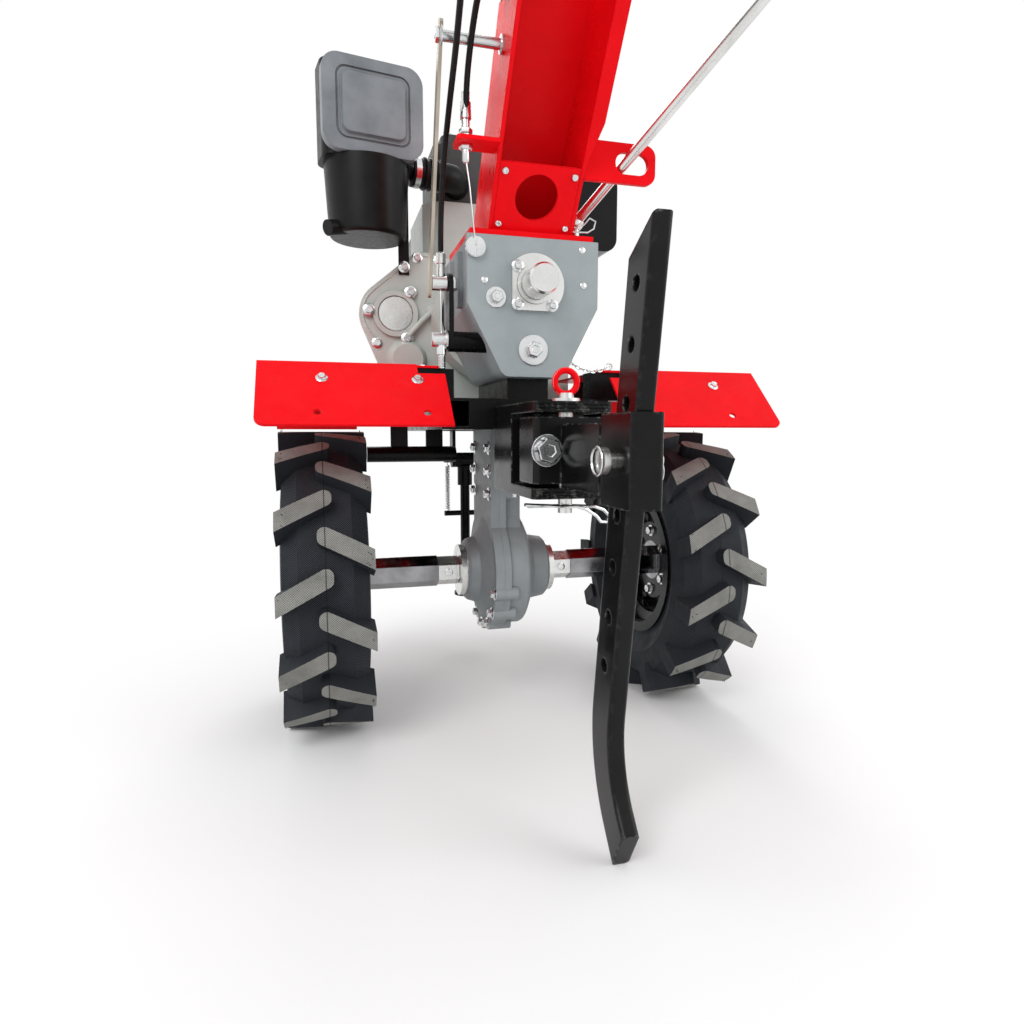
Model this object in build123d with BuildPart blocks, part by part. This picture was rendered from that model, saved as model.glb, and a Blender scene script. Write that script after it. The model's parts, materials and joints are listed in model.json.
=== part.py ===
"""Walk-behind power weeder: two lugged tyres on a hexagonal cross shaft, a gear final drive under a steel
bed, a single-cylinder diesel ahead of the gearbox, a leaning handle column, a rear hitch with a drag bar, and
a prop stand.

Millimetres. +X is the operator's right, +Y is forward, +Z is up. The origin is on the ground, at the middle
of the machine's length and width.
"""

import os
from math import cos, radians, sin

from build123d import *

os.makedirs("parts", exist_ok=True)

# Lengths along the machine, front and rear of the wheel axle
HANDLE_REACH = 1040.0
ENGINE_SETBACK = 100.0
GEAR_COVER_T = 16.0
CASE_LENGTH = 176.0
SHROUD_T = 80.0
STARTER_T = 46.0
BUMPER_GAP = 86.0
BUMPER_R = 13.0
BUMPER_RUN = 125.0
ENGINE_REACH = ENGINE_SETBACK + GEAR_COVER_T + CASE_LENGTH + SHROUD_T + STARTER_T
BUMPER_REACH = ENGINE_REACH + BUMPER_GAP + 2 * BUMPER_R
AXLE_Y = (HANDLE_REACH - BUMPER_REACH) / 2
BUMPER_Y = AXLE_Y + BUMPER_REACH - BUMPER_R

# Tyres and rims
TYRE_TIP_R = 207.0
LUG_H = 18.0
LUG_COUNT = 13
LUG_W = 25.0
LUG_ROOT = 24.0
LUG_OVERHANG = 3.0
LUG_OVERLAP = 9.0
LUG_SKEW = 35.0
TYRE_W = 108.0
SHOULDER_W = 22.0
SHOULDER_H = 14.0
SIDEWALL_H = 44.0
BEAD_R = 103.0
BEAD_W = 80.0
RIM_FLANGE_R = 114.0
RIM_WALL = 4.0
RIM_WELL_HALF_W = 16.0
RIM_WELL_SLOPE = 6.0
RIM_WELL_D = 14.0
WHEEL_FIT = 0.3
TRACK = 528.0
AXLE_Z = TYRE_TIP_R
WHEEL_X = TRACK / 2

# Cross shaft and wheel hubs
SHAFT_AF = 32.0
COLLAR_AF = 37.0
HUB_AF = 40.0
HUB_PLATE_R = 62.0
HUB_PLATE_T = 8.0
DISC_T = 5.0
DISC_OFFSET = 6.0
COLLAR_L = 32.0
HUB_STUB = 22.0
RIM_HOLE_CIRCLE_R = 73.0
RIM_HOLE_R = 8.0
RIM_HOLE_COUNT = 6

# Final drive under the bed
DRUM_R = 84.0
DRUM_RIGHT_X = 19.0
PARTING_X = -20.0
COVER_FLANGE_T = 13.0
CASE_FLANGE_T = 10.0
RIM_LIP = 5.0
BOSS_R = 46.0
BOSS_REACH = 62.0
BOSS_EDGE = 4.0
BOSS_SLOPE = 16.0
LEG_HALF_Y = 44.0
LEG_FLANGE = 12.0
LEG_W = 34.0
BOLT_BOSS_R = 10.0
BOLT_BOSS_COUNT = 7
BOLT_BOSS_START = 195.0
BOLT_BOSS_SPAN = 150.0
LEG_BOSS_PITCH = 33.0
CAP_R = 38.0
CAP_T = 9.0
SHAFT_GAP = 1.0

# Bed: two rails with cross members
BED_TOP_Z = AXLE_Z + 250.0
RAIL_H = 40.0
RAIL_W = 40.0
RAIL_X = 95.0
RAIL_WALL = 4.0
CROSS_WALL = 4.0
BED_REAR_Y = AXLE_Y - 130.0
BED_FRONT_Y = BUMPER_Y - BUMPER_RUN
BED_BOTTOM_Z = BED_TOP_Z - RAIL_H
CROSS_DEPTH = 40.0
OUTRIGGER_X = 150.0
OUTRIGGER_Y = AXLE_Y - 98.0
OUTRIGGER_W = 26.0

# Gearbox above the bed
GEARBOX_REAR_Y = AXLE_Y - 157.0
GEARBOX_FRONT_Y = AXLE_Y + 40.0
GEARBOX_HALF_W = 86.0
GEARBOX_FOOT_HALF_W = 40.0
GEARBOX_FOOT_H = 26.0
GEARBOX_FOOT_INSET = 12.0
GEARBOX_H = 172.0
GEARBOX_TAPER_H = 89.0
COVER_T = 10.0
COVER_LIP = 5.0
COVER_CORNER_R = 14.0
RIB_T = 12.0
RIB_H = 70.0
RIB_Z = 128.0
RIB_SETBACKS = (96.0, 40.0)
GEARBOX_BOTTOM_Z = BED_TOP_Z + GEARBOX_FOOT_H
GEARBOX_TOP_Z = GEARBOX_BOTTOM_Z + GEARBOX_H
PTO_Z = GEARBOX_BOTTOM_Z + 114.0
PTO_R = 19.0
PTO_LENGTH = 46.0
PTO_EDGE = 2.5
PTO_SHOULDER_R = 24.0
PTO_SHOULDER_T = 9.0
PTO_GROOVE_W = 3.0
PTO_GROOVE_D = 1.0
PTO_FLANGE_R = 38.0
PTO_FLANGE_T = 6.0
PTO_CUT_LEFT = 30.0
PTO_CUT_LOW = 32.0

# Handle column: a leaning channel, open to the rear
COLUMN_LEAN = 35.0
COLUMN_W = 112.0
COLUMN_D = 84.0
COLUMN_WALL = 5.0
COLUMN_LENGTH = 345.0
COLUMN_Y = AXLE_Y - 89.0
BASE_PLATE_T = 8.0
BASE_PLATE_LENGTH = 140.0
BASE_PLATE_SHIFT = 7.0
COLUMN_WINDOW_R = 27.0
COLUMN_WINDOW_ALONG = 74.0
COLUMN_CLOSER_H = 112.0
SHEET_FIT = 0.3
COLUMN_BASE_Z = GEARBOX_TOP_Z + BASE_PLATE_T
PIVOT_ALONG = COLUMN_LENGTH - 26.0
LIP_ALONG = 116.0
LIP_W = 12.0

# Shift linkage
GUIDE_Y = AXLE_Y - 177.0
GUIDE_Z = COLUMN_BASE_Z + 82.0
GUIDE_REACH = 95.0
GUIDE_H = 48.0
GUIDE_T = 6.0
GUIDE_SLOT_X = 119.0
GUIDE_SLOT_L = 44.0
GUIDE_SLOT_H = 26.0
GUIDE_CORNER_R = 14.0
ROD_SLOPE = (39.0, -70.0, 54.0)
ROD_R = 6.5
ROD_BELOW = 96.0
ROD_ABOVE = 370.0
KNOB_R = 17.0
ROD_OFFSET = 8.5
BALL_R = 11.0
BALL_STUD_R = 5.0

# Clutch lever on the gearbox's left side, and the cable bracket on the column
CLUTCH_Y = AXLE_Y - 118.0
CLUTCH_Z = GEARBOX_BOTTOM_Z + 46.0
CLUTCH_BOSS_R = 13.0
CLUTCH_ARM_X = -98.0
CLUTCH_ARM_T = 6.0
CLUTCH_ARM_L = 72.0
CLUTCH_ARM_W = 26.0
CLUTCH_EYE_R = 8.0
CLUTCH_EYE_L = 16.0
TAB_REACH = 50.0
TAB_W = 34.0
TAB_T = 5.0
TAB_HOLE_REACH = 37.5
TAB_Y = AXLE_Y - 190.0
TAB_Z = COLUMN_BASE_Z + 80.0
CABLE_R = 3.5

# Handle frame
HANDLE_TUBE_R = 17.0
HANDLE_TUBE_WALL = 5.0
HANDLE_HALF_W = 300.0
HANDLE_BEND_R = 70.0
HANDLE_RISE = 15.0
YOKE_HALF_W = 95.0
GRIP_RUN = 360.0
GRIP_R = 21.0
GRIP_LENGTH = 130.0
LEVER_SETBACK = 40.0
LEVER_CLAMP_L = 24.0
LEVER_CLAMP_T = 7.0
LEVER_ROD_R = 5.0
LEVER_BEND_R = 16.0
LEVER_DROP = 34.0
LEVER_RUN = 135.0
BRACE_SETBACK = 90.0
BRACE_R = 12.0
YOKE_T = 8.0
YOKE_LENGTH = 90.0
YOKE_RISE = 21.0
YOKE_FOOT_AHEAD = 26.0
YOKE_FOOT_DROP = 40.0
YOKE_TOP_AHEAD = 6.0
YOKE_TOP_H = 34.0
YOKE_END_H = 40.0
GRIP_END_Z = AXLE_Z + 808.0

# Hitch and drag bar
HITCH_HALF_W = 46.0
HITCH_PLATE_T = 12.0
HITCH_TOP_Z = AXLE_Z + 227.0
HITCH_LOW_Z = AXLE_Z + 145.0
HITCH_REAR_Y = AXLE_Y - 306.0
HITCH_WEB_Y = AXLE_Y - 215.0
HITCH_WEB_T = 10.0
HITCH_CORNER_R = 8.0
STACK_SHEETS = 3
STACK_GROOVE = 1.2
PIN_Y = AXLE_Y - 278.0
PIN_R = 8.0
PIN_EYE_R = 13.0
PIN_EYE_TUBE_R = 3.5
PIN_EYE_SINK = 1.0
PIN_ABOVE = 10.0
PIN_BELOW = 18.0
PIN_COLLAR_R = 16.0
PIN_COLLAR_T = 4.0
RUNNING_FIT = 0.3
BLOCK_HALF_W = 46.0
BLOCK_LENGTH = 62.0
BLOCK_WALL = 8.0
BLOCK_TUBE_R = 15.0
BLOCK_GAP = 5.0
BLOCK_EDGE_R = 6.0
BAR_T = 18.0
BAR_W = 44.0
BAR_EDGE_R = 4.0
BAR_TOP_Z = AXLE_Z + 382.0
BAR_Y = AXLE_Y - 449.0
BAR_LEAN = 9.0
BAR_HOOK_R = 130.0
BAR_HOOK_TURN = 48.0
BAR_TAIL = 35.0
BAR_TOP_CUT = 40.0
BAR_TIP_CUT = 22.0
BAR_HOLES_BELOW = 4
BAR_HOLES_ABOVE = 3
BAR_HOLE_R = 7.0
BAR_HOLE_PITCH = 50.0
SLEEVE_WALL = 6.0
SLEEVE_H = 84.0
SLEEVE_FIT = 0.5
SLEEVE_EDGE_R = 5.0
SLEEVE_DROP = 6.0
DRAG_PIN_REACH = 14.0
DRAG_HEAD_R = 12.0
DRAG_HEAD_T = 6.0
ARM_T = 8.0
ARM_H = 68.0
LIMIT_BOLT_R = 8.0
LIMIT_BOLT_X = 32.0
LIMIT_BOLT_REACH = 50.0

# Prop stand under the front of the bed
STAND_Y = AXLE_Y + 290.0
STAND_PIVOT_Z = AXLE_Z + 155.0
STAND_LENGTH = 262.0
STAND_LEG_R = 9.0
STAND_COLLAR_R = 14.0
STAND_EAR_X = 20.0
STAND_EAR_T = 6.0
STAND_BOLT_R = 5.0
STAND_FOOT_R = 22.0
STAND_FOOT_T = 6.0
STAND_EAR_GAP = 1.0
STAND_COLLAR_DROP = 48.0
STAND_COLLAR_H = 36.0
STAND_PIN_OVERHANG = 6.0
SPRING_X = 34.0
SPRING_R = 5.0
SPRING_LENGTH = 92.0

# Fenders
FENDER_TOP_Z = 2 * TYRE_TIP_R + 84.0
FENDER_T = 3.0
FENDER_INNER_X = 112.0
FENDER_OVERHANG = 18.0
FENDER_OUTER_X = WHEEL_X + TYRE_W / 2 + FENDER_OVERHANG
FENDER_REAR_Y = AXLE_Y - 130.0
FENDER_FRONT_Y = AXLE_Y + 150.0
TYRE_INNER_X = WHEEL_X - TYRE_W / 2 - LUG_OVERHANG
FENDER_FRONT_X = TYRE_INNER_X - 3.0
FLAP_HOLE_R = 4.5
FLAP_CORNER_R = 12.0
FENDER_CUT_L = 200.0
ENGINE_GAP = 8.0
FLAP_DROP = 77.0
FLAP_NOTCH_X = 34.0
FLAP_NOTCH_DROP = 12.0
STAY_Y = AXLE_Y + 60.0
STAY_R = 12.0
STAY_GAP = 9.0
STAY_REACH = TYRE_INNER_X - STAY_GAP
STAY_INNER_X = 62.0
STAY_Z = AXLE_Z + 173.0
STRAP_GAP = 34.0
STRAP_X = RAIL_X + RAIL_W / 2 + STRAP_GAP
STRAP_W = 26.0
STRAP_T = 5.0

# Engine
ENGINE_REAR_Y = AXLE_Y + ENGINE_SETBACK
CRANK_Z = BED_TOP_Z + 132.0
ENGINE_X0 = -150.0
ENGINE_X1 = 140.0
CASE_WALL_X = 22.0
CASE_WALL_Y = 14.0
CASE_WALL_Z = 16.0
CASE_H = 190.0
CASE_EDGE_R = 24.0
BELL_R = 92.0
BELL_WALL = 8.0
BLANK_X = -147.0
BLANK_Z = BED_TOP_Z + 140.0
BLANK_R = 27.0
BLANK_T = 5.0
BLANK_RING = 8.0
BLANK_EDGE = 1.5
EAR_COUNT = 3
EAR_START = 55.0
EAR_CIRCLE_R = 41.0
EAR_R = 10.0
# Lobes of the gear cover's outline on its left: (x, z, radius)
GEAR_LOBES = ((-152.0, BED_TOP_Z + 140.0, 50.0), (-100.0, BED_TOP_Z + 196.0, 40.0))
GEAR_TOP_Z = GEAR_LOBES[1][1] + GEAR_LOBES[1][2]
GEAR_END_R = 50.0
GEAR_FOOT_H = 24.0
CASE_ROUND_DEPTH = 40.0
BULGE_X = -130.0
BULGE_Z = BED_TOP_Z + 70.0
BULGE_R = 32.0
BULGE_H = 14.0
BULGE_TAPER = 30.0
AIR_GUIDE_T = 2.5
AIR_GUIDE_GAP = 10.0
AIR_GUIDE_LAP = 14.0
AIR_GUIDE_END_X = 60.0
AIR_GUIDE_RISE = 12.0
CYLINDER_R = 56.0
BORE_R = 43.0
FIN_HALF_W = 84.0
FIN_COUNT = 8
FIN_PITCH = 15.0
FIN_T = 5.0
FIN_HALF_D = 72.0
FIN_CORNER_R = 18.0
ROCKER_W = 124.0
ROCKER_D = 112.0
ROCKER_H = 22.0
ROCKER_CORNER_R = 16.0
HEAD_H = 104.0
HEAD_INSET = 6.0
HEAD_CORNER_R = 14.0
HEAD_SLOT_EDGE = 12.0
HEAD_SLOTS = 9
HEAD_SLOT_PITCH = 16.0
HEAD_SLOT_W = 10.0
HEAD_SLOT_D = 88.0
SHROUD_WALL = 2.5
SHROUD_R = 128.0
SHROUD_MARGIN = 10.0
SHROUD_TOP_Z = BED_TOP_Z + 313.0
STARTER_R = 108.0
STARTER_EDGE_R = 14.0
VENT_COUNT = 16
VENT_CIRCLE_R = 68.0
VENT_L = 40.0
VENT_W = 9.0
TANK_REAR_Y = AXLE_Y + 284.0
TANK_LENGTH = 165.0
TANK_X = 70.0
TANK_HALF_W = 100.0
TANK_H = 120.0
TANK_WALL = 2.0
TANK_CORNER_R = 34.0
TANK_TOP_R = 20.0
TANK_CAP_R = 32.0
TANK_CAP_H = 22.0
TANK_CAP_EDGE_R = 5.0
MUFFLER_X = 175.0
MUFFLER_W = 124.0
MUFFLER_L = 150.0
MUFFLER_WALL = 2.0
MUFFLER_H = 128.0
MUFFLER_ABOVE_CASE = 140.0
MUFFLER_Z = BED_TOP_Z + CASE_H + MUFFLER_ABOVE_CASE
MUFFLER_EDGE_R = 22.0
EXHAUST_R = 20.0
EXHAUST_LAP = 6.0
OUTLET_R = 14.0
OUTLET_WALL = 2.0
OUTLET_L = 34.0
OUTLET_SIDE = 20.0
AIR_X = -188.0
AIR_Y = AXLE_Y + 76.0
AIR_ABOVE_CASE = 156.0
AIR_Z = BED_TOP_Z + CASE_H + AIR_ABOVE_CASE
AIR_YAW = 10.0
AIR_W = 144.0
AIR_D = 72.0
AIR_H = 128.0
AIR_BODY_INSET = 4.0
AIR_CORNER_R = 22.0
AIR_BACK_T = 6.0
AIR_OPEN_EDGE_W = 20.0
AIR_OPEN_EDGE_H = 8.0
AIR_LID_T = 14.0
AIR_LID_CORNER_R = 24.0
AIR_LID_INSET = 1.0
AIR_PANEL_EDGE_W = 26.0
AIR_PANEL_EDGE_H = 23.0
AIR_PANEL_CORNER_R = 12.0
AIR_PANEL_T = 5.0
AIR_PANEL_TAPER = 20.0
AIR_GROOVE_GAP = 7.0
AIR_GROOVE_W = 3.0
AIR_GROOVE_D = 2.0
AIR_BOWL_R = 62.0
AIR_BOWL_TAPER = 6.0
AIR_BOWL_H = 104.0
AIR_SPOUT_R = 11.0
AIR_SPOUT_REACH = 74.0
AIR_SPOUT_DROP = 83.2
AIR_SPOUT_DIR = (-0.8, -0.55, -0.25)
AIR_STRAP_X = -133.0
AIR_STRAP_W = 16.0
AIR_STRAP_T = 4.0
AIR_STRAP_GRIP = 6.0
AIR_STRAP_LAP = 36.0
ELBOW_R = 21.0
ELBOW_REACH = 146.0
ELBOW_DROP = 60.0
ELBOW_BEND_R = 24.0

# Front bumper
BUMPER_WALL = 2.5
BUMPER_TOP_Z = AXLE_Z + 373.0
BUMPER_BEND_R = 50.0

# Sizes worked out from the values above
OUTRIGGER_MID_Z = (FENDER_TOP_Z - FENDER_T + BED_TOP_Z) / 2
DRUM_AXIS = Axis((0, AXLE_Y, AXLE_Z), (1, 0, 0))
CARCASS_R = TYRE_TIP_R - LUG_H
LEAN = (0, -sin(radians(COLUMN_LEAN)), cos(radians(COLUMN_LEAN)))
PIVOT_Y = COLUMN_Y + LEAN[1] * PIVOT_ALONG
PIVOT_Z = COLUMN_BASE_Z + LEAN[2] * PIVOT_ALONG
CROSS_TUBE_Y = PIVOT_Y - YOKE_LENGTH
CROSS_TUBE_Z = PIVOT_Z + YOKE_RISE
WHEEL_PLANE = Plane(origin=(WHEEL_X, AXLE_Y, AXLE_Z), x_dir=(1, 0, 0), z_dir=(0, -1, 0))
AXLE_PLANE = Plane(origin=(0, AXLE_Y, AXLE_Z), x_dir=(1, 0, 0), z_dir=(0, -1, 0))
COLUMN_PLANE = Plane(origin=(0, COLUMN_Y, COLUMN_BASE_Z), x_dir=(1, 0, 0), z_dir=LEAN)


def across(x):
    """The plane that faces along +X at x, with the machine's Y and Z as its own axes."""
    return Plane.YZ.offset(x)


def facing_back(y):
    """The plane that faces backwards at y, with the machine's X and Z as its own axes."""
    return Plane.XZ.offset(-y)


def hexagon_radius(across_flats):
    """The corner radius of a hexagon of that width across its flats."""
    return across_flats / 2 / cos(radians(30))


# Tyres: carcass of revolution with chevron lugs in two staggered rows

with BuildPart() as lug:
    with BuildSketch(Plane((WHEEL_X, AXLE_Y, AXLE_Z + CARCASS_R - LUG_ROOT))):
        with BuildLine():
            Polyline(
                (-LUG_OVERLAP, LUG_SKEW / 2 + LUG_W / 2),
                (TYRE_W / 2 + LUG_OVERHANG, -LUG_SKEW / 2 + LUG_W / 2),
                (TYRE_W / 2 + LUG_OVERHANG, -LUG_SKEW / 2 - LUG_W / 2),
                (-LUG_OVERLAP, LUG_SKEW / 2 - LUG_W / 2),
                close=True,
            )
        make_face()
    extrude(amount=LUG_ROOT + 1.1 * LUG_H)
    inner_ends = lug.edges().filter_by(Axis.Z).group_by(Axis.X)[0]
    fillet(inner_ends, LUG_W * 0.35)
    with Locations(Location((WHEEL_X, AXLE_Y, AXLE_Z), (0, 90, 0))):
        Cylinder(TYRE_TIP_R, 2 * TYRE_W, mode=Mode.INTERSECT)

with BuildPart() as tyre_right:
    with BuildSketch(WHEEL_PLANE):
        with BuildLine():
            Polyline(
                (-BEAD_W / 2, BEAD_R),
                (-BEAD_W / 2, RIM_FLANGE_R + RIM_WALL),
                (-TYRE_W / 2, CARCASS_R - SIDEWALL_H),
                (-TYRE_W / 2 + LUG_OVERHANG, CARCASS_R - SHOULDER_H),
                (-TYRE_W / 2 + SHOULDER_W, CARCASS_R),
                (TYRE_W / 2 - SHOULDER_W, CARCASS_R),
                (TYRE_W / 2 - LUG_OVERHANG, CARCASS_R - SHOULDER_H),
                (TYRE_W / 2, CARCASS_R - SIDEWALL_H),
                (BEAD_W / 2, RIM_FLANGE_R + RIM_WALL),
                (BEAD_W / 2, BEAD_R),
                close=True,
            )
        make_face()
    revolve(axis=DRUM_AXIS)
    other_row = mirror(lug.part, about=Plane.YZ.offset(WHEEL_X))
    for i in range(LUG_COUNT):
        turn = 360.0 * i / LUG_COUNT
        add(lug.part.rotate(DRUM_AXIS, turn))
        add(other_row.rotate(DRUM_AXIS, turn + 180.0 / LUG_COUNT))

# Rims: bead seat with two flanges and a dished disc

RIM_R = BEAD_R - WHEEL_FIT
WELL_R = RIM_R - RIM_WELL_D
WELL_OUT = RIM_WELL_HALF_W + RIM_WELL_SLOPE
DISC_X = WHEEL_X - DISC_OFFSET
DISC_HOLE_R = hexagon_radius(HUB_AF) + WHEEL_FIT

with BuildPart() as rim_right:
    with BuildSketch(WHEEL_PLANE):
        with BuildLine():
            Polyline(
                (-BEAD_W / 2 - WHEEL_FIT, RIM_R),
                (-BEAD_W / 2 - WHEEL_FIT, RIM_FLANGE_R),
                (-BEAD_W / 2 - WHEEL_FIT - RIM_WALL, RIM_FLANGE_R),
                (-BEAD_W / 2 - WHEEL_FIT - RIM_WALL, RIM_R - RIM_WALL),
                (-WELL_OUT - RIM_WALL, RIM_R - RIM_WALL),
                (-RIM_WELL_HALF_W - RIM_WALL, WELL_R - RIM_WALL),
                (DISC_X - WHEEL_X, WELL_R - RIM_WALL),
                (DISC_X - WHEEL_X, DISC_HOLE_R),
                (DISC_X - WHEEL_X + DISC_T, DISC_HOLE_R),
                (DISC_X - WHEEL_X + DISC_T, WELL_R - RIM_WALL),
                (RIM_WELL_HALF_W + RIM_WALL, WELL_R - RIM_WALL),
                (WELL_OUT + RIM_WALL, RIM_R - RIM_WALL),
                (BEAD_W / 2 + WHEEL_FIT + RIM_WALL, RIM_R - RIM_WALL),
                (BEAD_W / 2 + WHEEL_FIT + RIM_WALL, RIM_FLANGE_R),
                (BEAD_W / 2 + WHEEL_FIT, RIM_FLANGE_R),
                (BEAD_W / 2 + WHEEL_FIT, RIM_R),
                (WELL_OUT, RIM_R),
                (RIM_WELL_HALF_W, WELL_R),
                (-RIM_WELL_HALF_W, WELL_R),
                (-WELL_OUT, RIM_R),
                close=True,
            )
        make_face()
    revolve(axis=DRUM_AXIS)
    with BuildSketch(across(DISC_X)):
        with Locations((AXLE_Y, AXLE_Z)):
            with PolarLocations(RIM_HOLE_CIRCLE_R, RIM_HOLE_COUNT):
                Circle(RIM_HOLE_R)
    extrude(amount=DISC_T, mode=Mode.SUBTRACT)

# Hubs: hexagonal sleeve on the cross shaft, with the plate that carries the rim

HUB_START_X = BOSS_REACH + CAP_T + COLLAR_L
HUB_END_X = DISC_X + DISC_T + HUB_STUB

with BuildPart() as hub_right:
    with BuildSketch(across(HUB_START_X)):
        with Locations((AXLE_Y, AXLE_Z)):
            RegularPolygon(hexagon_radius(HUB_AF), 6, rotation=30)
            RegularPolygon(hexagon_radius(SHAFT_AF), 6, rotation=30, mode=Mode.SUBTRACT)
    extrude(amount=HUB_END_X - HUB_START_X)
    with BuildSketch(across(DISC_X - HUB_PLATE_T)):
        with Locations((AXLE_Y, AXLE_Z)):
            Circle(HUB_PLATE_R)
            RegularPolygon(hexagon_radius(SHAFT_AF), 6, rotation=30, mode=Mode.SUBTRACT)
    extrude(amount=HUB_PLATE_T)

with BuildPart() as cross_shaft:
    with BuildSketch(across(-HUB_END_X)):
        with Locations((AXLE_Y, AXLE_Z)):
            RegularPolygon(hexagon_radius(SHAFT_AF), 6, rotation=30)
    extrude(amount=2 * HUB_END_X)
    for x in (-HUB_START_X, BOSS_REACH + CAP_T + SHAFT_GAP):
        with BuildSketch(across(x)):
            with Locations((AXLE_Y, AXLE_Z)):
                RegularPolygon(hexagon_radius(COLLAR_AF), 6, rotation=30)
        extrude(amount=HUB_START_X - BOSS_REACH - CAP_T - SHAFT_GAP)

# Final drive: a deep case with the leg, and the cover bolted to its left side

SHAFT_HOLE_R = hexagon_radius(SHAFT_AF) + SHAFT_GAP
LEG_MID_Z = (AXLE_Z + BED_BOTTOM_Z) / 2
BOSS_Y = LEG_HALF_Y + LEG_FLANGE - BOLT_BOSS_R


def bolt_bosses():
    """Bolt bosses round the drum's rim and up both edges of the leg, drawn on a plane that faces along +X."""
    with Locations((AXLE_Y, AXLE_Z)):
        with PolarLocations(DRUM_R, BOLT_BOSS_COUNT, BOLT_BOSS_START, BOLT_BOSS_SPAN, endpoint=True):
            Circle(BOLT_BOSS_R)
    with Locations((AXLE_Y, BED_BOTTOM_Z - 1.8 * LEG_BOSS_PITCH)):
        with GridLocations(2 * BOSS_Y, LEG_BOSS_PITCH, 2, 3):
            Circle(BOLT_BOSS_R)


with BuildPart() as final_drive_case:
    with BuildSketch(AXLE_PLANE):
        with BuildLine():
            Polyline(
                (PARTING_X, 0),
                (PARTING_X, DRUM_R + RIM_LIP),
                (PARTING_X + CASE_FLANGE_T, DRUM_R + RIM_LIP),
                (PARTING_X + CASE_FLANGE_T, DRUM_R),
                (DRUM_RIGHT_X, DRUM_R),
                (DRUM_RIGHT_X + BOSS_SLOPE, BOSS_R + BOSS_EDGE),
                (BOSS_REACH - BOSS_EDGE, BOSS_R),
                (BOSS_REACH, BOSS_R - BOSS_EDGE),
                (BOSS_REACH, 0),
                close=True,
            )
        make_face()
        drum_edge = vertices().sort_by_distance((DRUM_RIGHT_X, DRUM_R))[0]
        fillet(drum_edge, 2 * BOSS_EDGE)
    revolve(axis=DRUM_AXIS)
    with BuildSketch(across(PARTING_X)):
        with BuildLine():
            Polyline(
                (AXLE_Y - DRUM_R + 3 * BOSS_EDGE, AXLE_Z),
                (AXLE_Y - LEG_HALF_Y, AXLE_Z + DRUM_R),
                (AXLE_Y - LEG_HALF_Y, BED_BOTTOM_Z),
                (AXLE_Y + LEG_HALF_Y, BED_BOTTOM_Z),
                (AXLE_Y + LEG_HALF_Y, AXLE_Z + DRUM_R),
                (AXLE_Y + DRUM_R - 3 * BOSS_EDGE, AXLE_Z),
                close=True,
            )
        make_face()
    extrude(amount=LEG_W)
    leg_edge = final_drive_case.faces().sort_by(Axis.Z)[-1].edges().filter_by(Axis.Y).sort_by(Axis.X)[-1]
    fillet(leg_edge, 2 * BOSS_EDGE)
    with BuildSketch(across(PARTING_X)):
        with Locations((AXLE_Y, LEG_MID_Z)):
            Rectangle(2 * LEG_HALF_Y + 2 * LEG_FLANGE, BED_BOTTOM_Z - AXLE_Z)
    extrude(amount=CASE_FLANGE_T)
    with BuildSketch(across(PARTING_X)):
        bolt_bosses()
    extrude(amount=2 * CASE_FLANGE_T)
    with Locations(Location((0, AXLE_Y, AXLE_Z), (0, 90, 0))):
        Cylinder(SHAFT_HOLE_R, 3 * BOSS_REACH, mode=Mode.SUBTRACT)

with BuildPart() as final_drive_cover:
    with BuildSketch(AXLE_PLANE):
        with BuildLine():
            Polyline(
                (PARTING_X, 0),
                (PARTING_X, DRUM_R + RIM_LIP),
                (PARTING_X - COVER_FLANGE_T, DRUM_R + RIM_LIP),
                (PARTING_X - COVER_FLANGE_T, DRUM_R - RIM_LIP),
                (-BOSS_REACH + BOSS_SLOPE, BOSS_R + BOSS_EDGE),
                (-BOSS_REACH + BOSS_EDGE, BOSS_R),
                (-BOSS_REACH, BOSS_R - BOSS_EDGE),
                (-BOSS_REACH, 0),
                close=True,
            )
        make_face()
    revolve(axis=DRUM_AXIS)
    with BuildSketch(across(PARTING_X)):
        with Locations((AXLE_Y, LEG_MID_Z)):
            Rectangle(2 * LEG_HALF_Y + 2 * LEG_FLANGE, BED_BOTTOM_Z - AXLE_Z)
        bolt_bosses()
    extrude(amount=-COVER_FLANGE_T)
    with Locations(Location((0, AXLE_Y, AXLE_Z), (0, 90, 0))):
        Cylinder(SHAFT_HOLE_R, 3 * BOSS_REACH, mode=Mode.SUBTRACT)

with BuildPart() as bearing_caps:
    for x in (-BOSS_REACH - CAP_T, BOSS_REACH):
        with BuildSketch(across(x)):
            with Locations((AXLE_Y, AXLE_Z)):
                Circle(CAP_R)
                Circle(SHAFT_HOLE_R, mode=Mode.SUBTRACT)
        extrude(amount=CAP_T)

# Gearbox: tapered casting with a rear cover, power take-off shaft and its retainer


def gearbox_corners(inset):
    """The corners of the gearbox's outline from behind, drawn in by inset."""
    half_w = GEARBOX_HALF_W - inset
    foot = GEARBOX_FOOT_HALF_W - inset * 0.6
    shoulder_z = GEARBOX_BOTTOM_Z + GEARBOX_TAPER_H
    right_side = [(foot, GEARBOX_BOTTOM_Z), (half_w, shoulder_z), (half_w, GEARBOX_TOP_Z)]
    left_side = [(-x, z) for x, z in reversed(right_side)]
    return right_side + left_side


with BuildPart() as gearbox_cover:
    with BuildSketch(facing_back(GEARBOX_REAR_Y + COVER_T)):
        with BuildLine():
            Polyline(*gearbox_corners(0), close=True)
        make_face()
        fillet(vertices().group_by(Axis.Y)[0], COVER_CORNER_R)
    extrude(amount=COVER_T)

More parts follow.
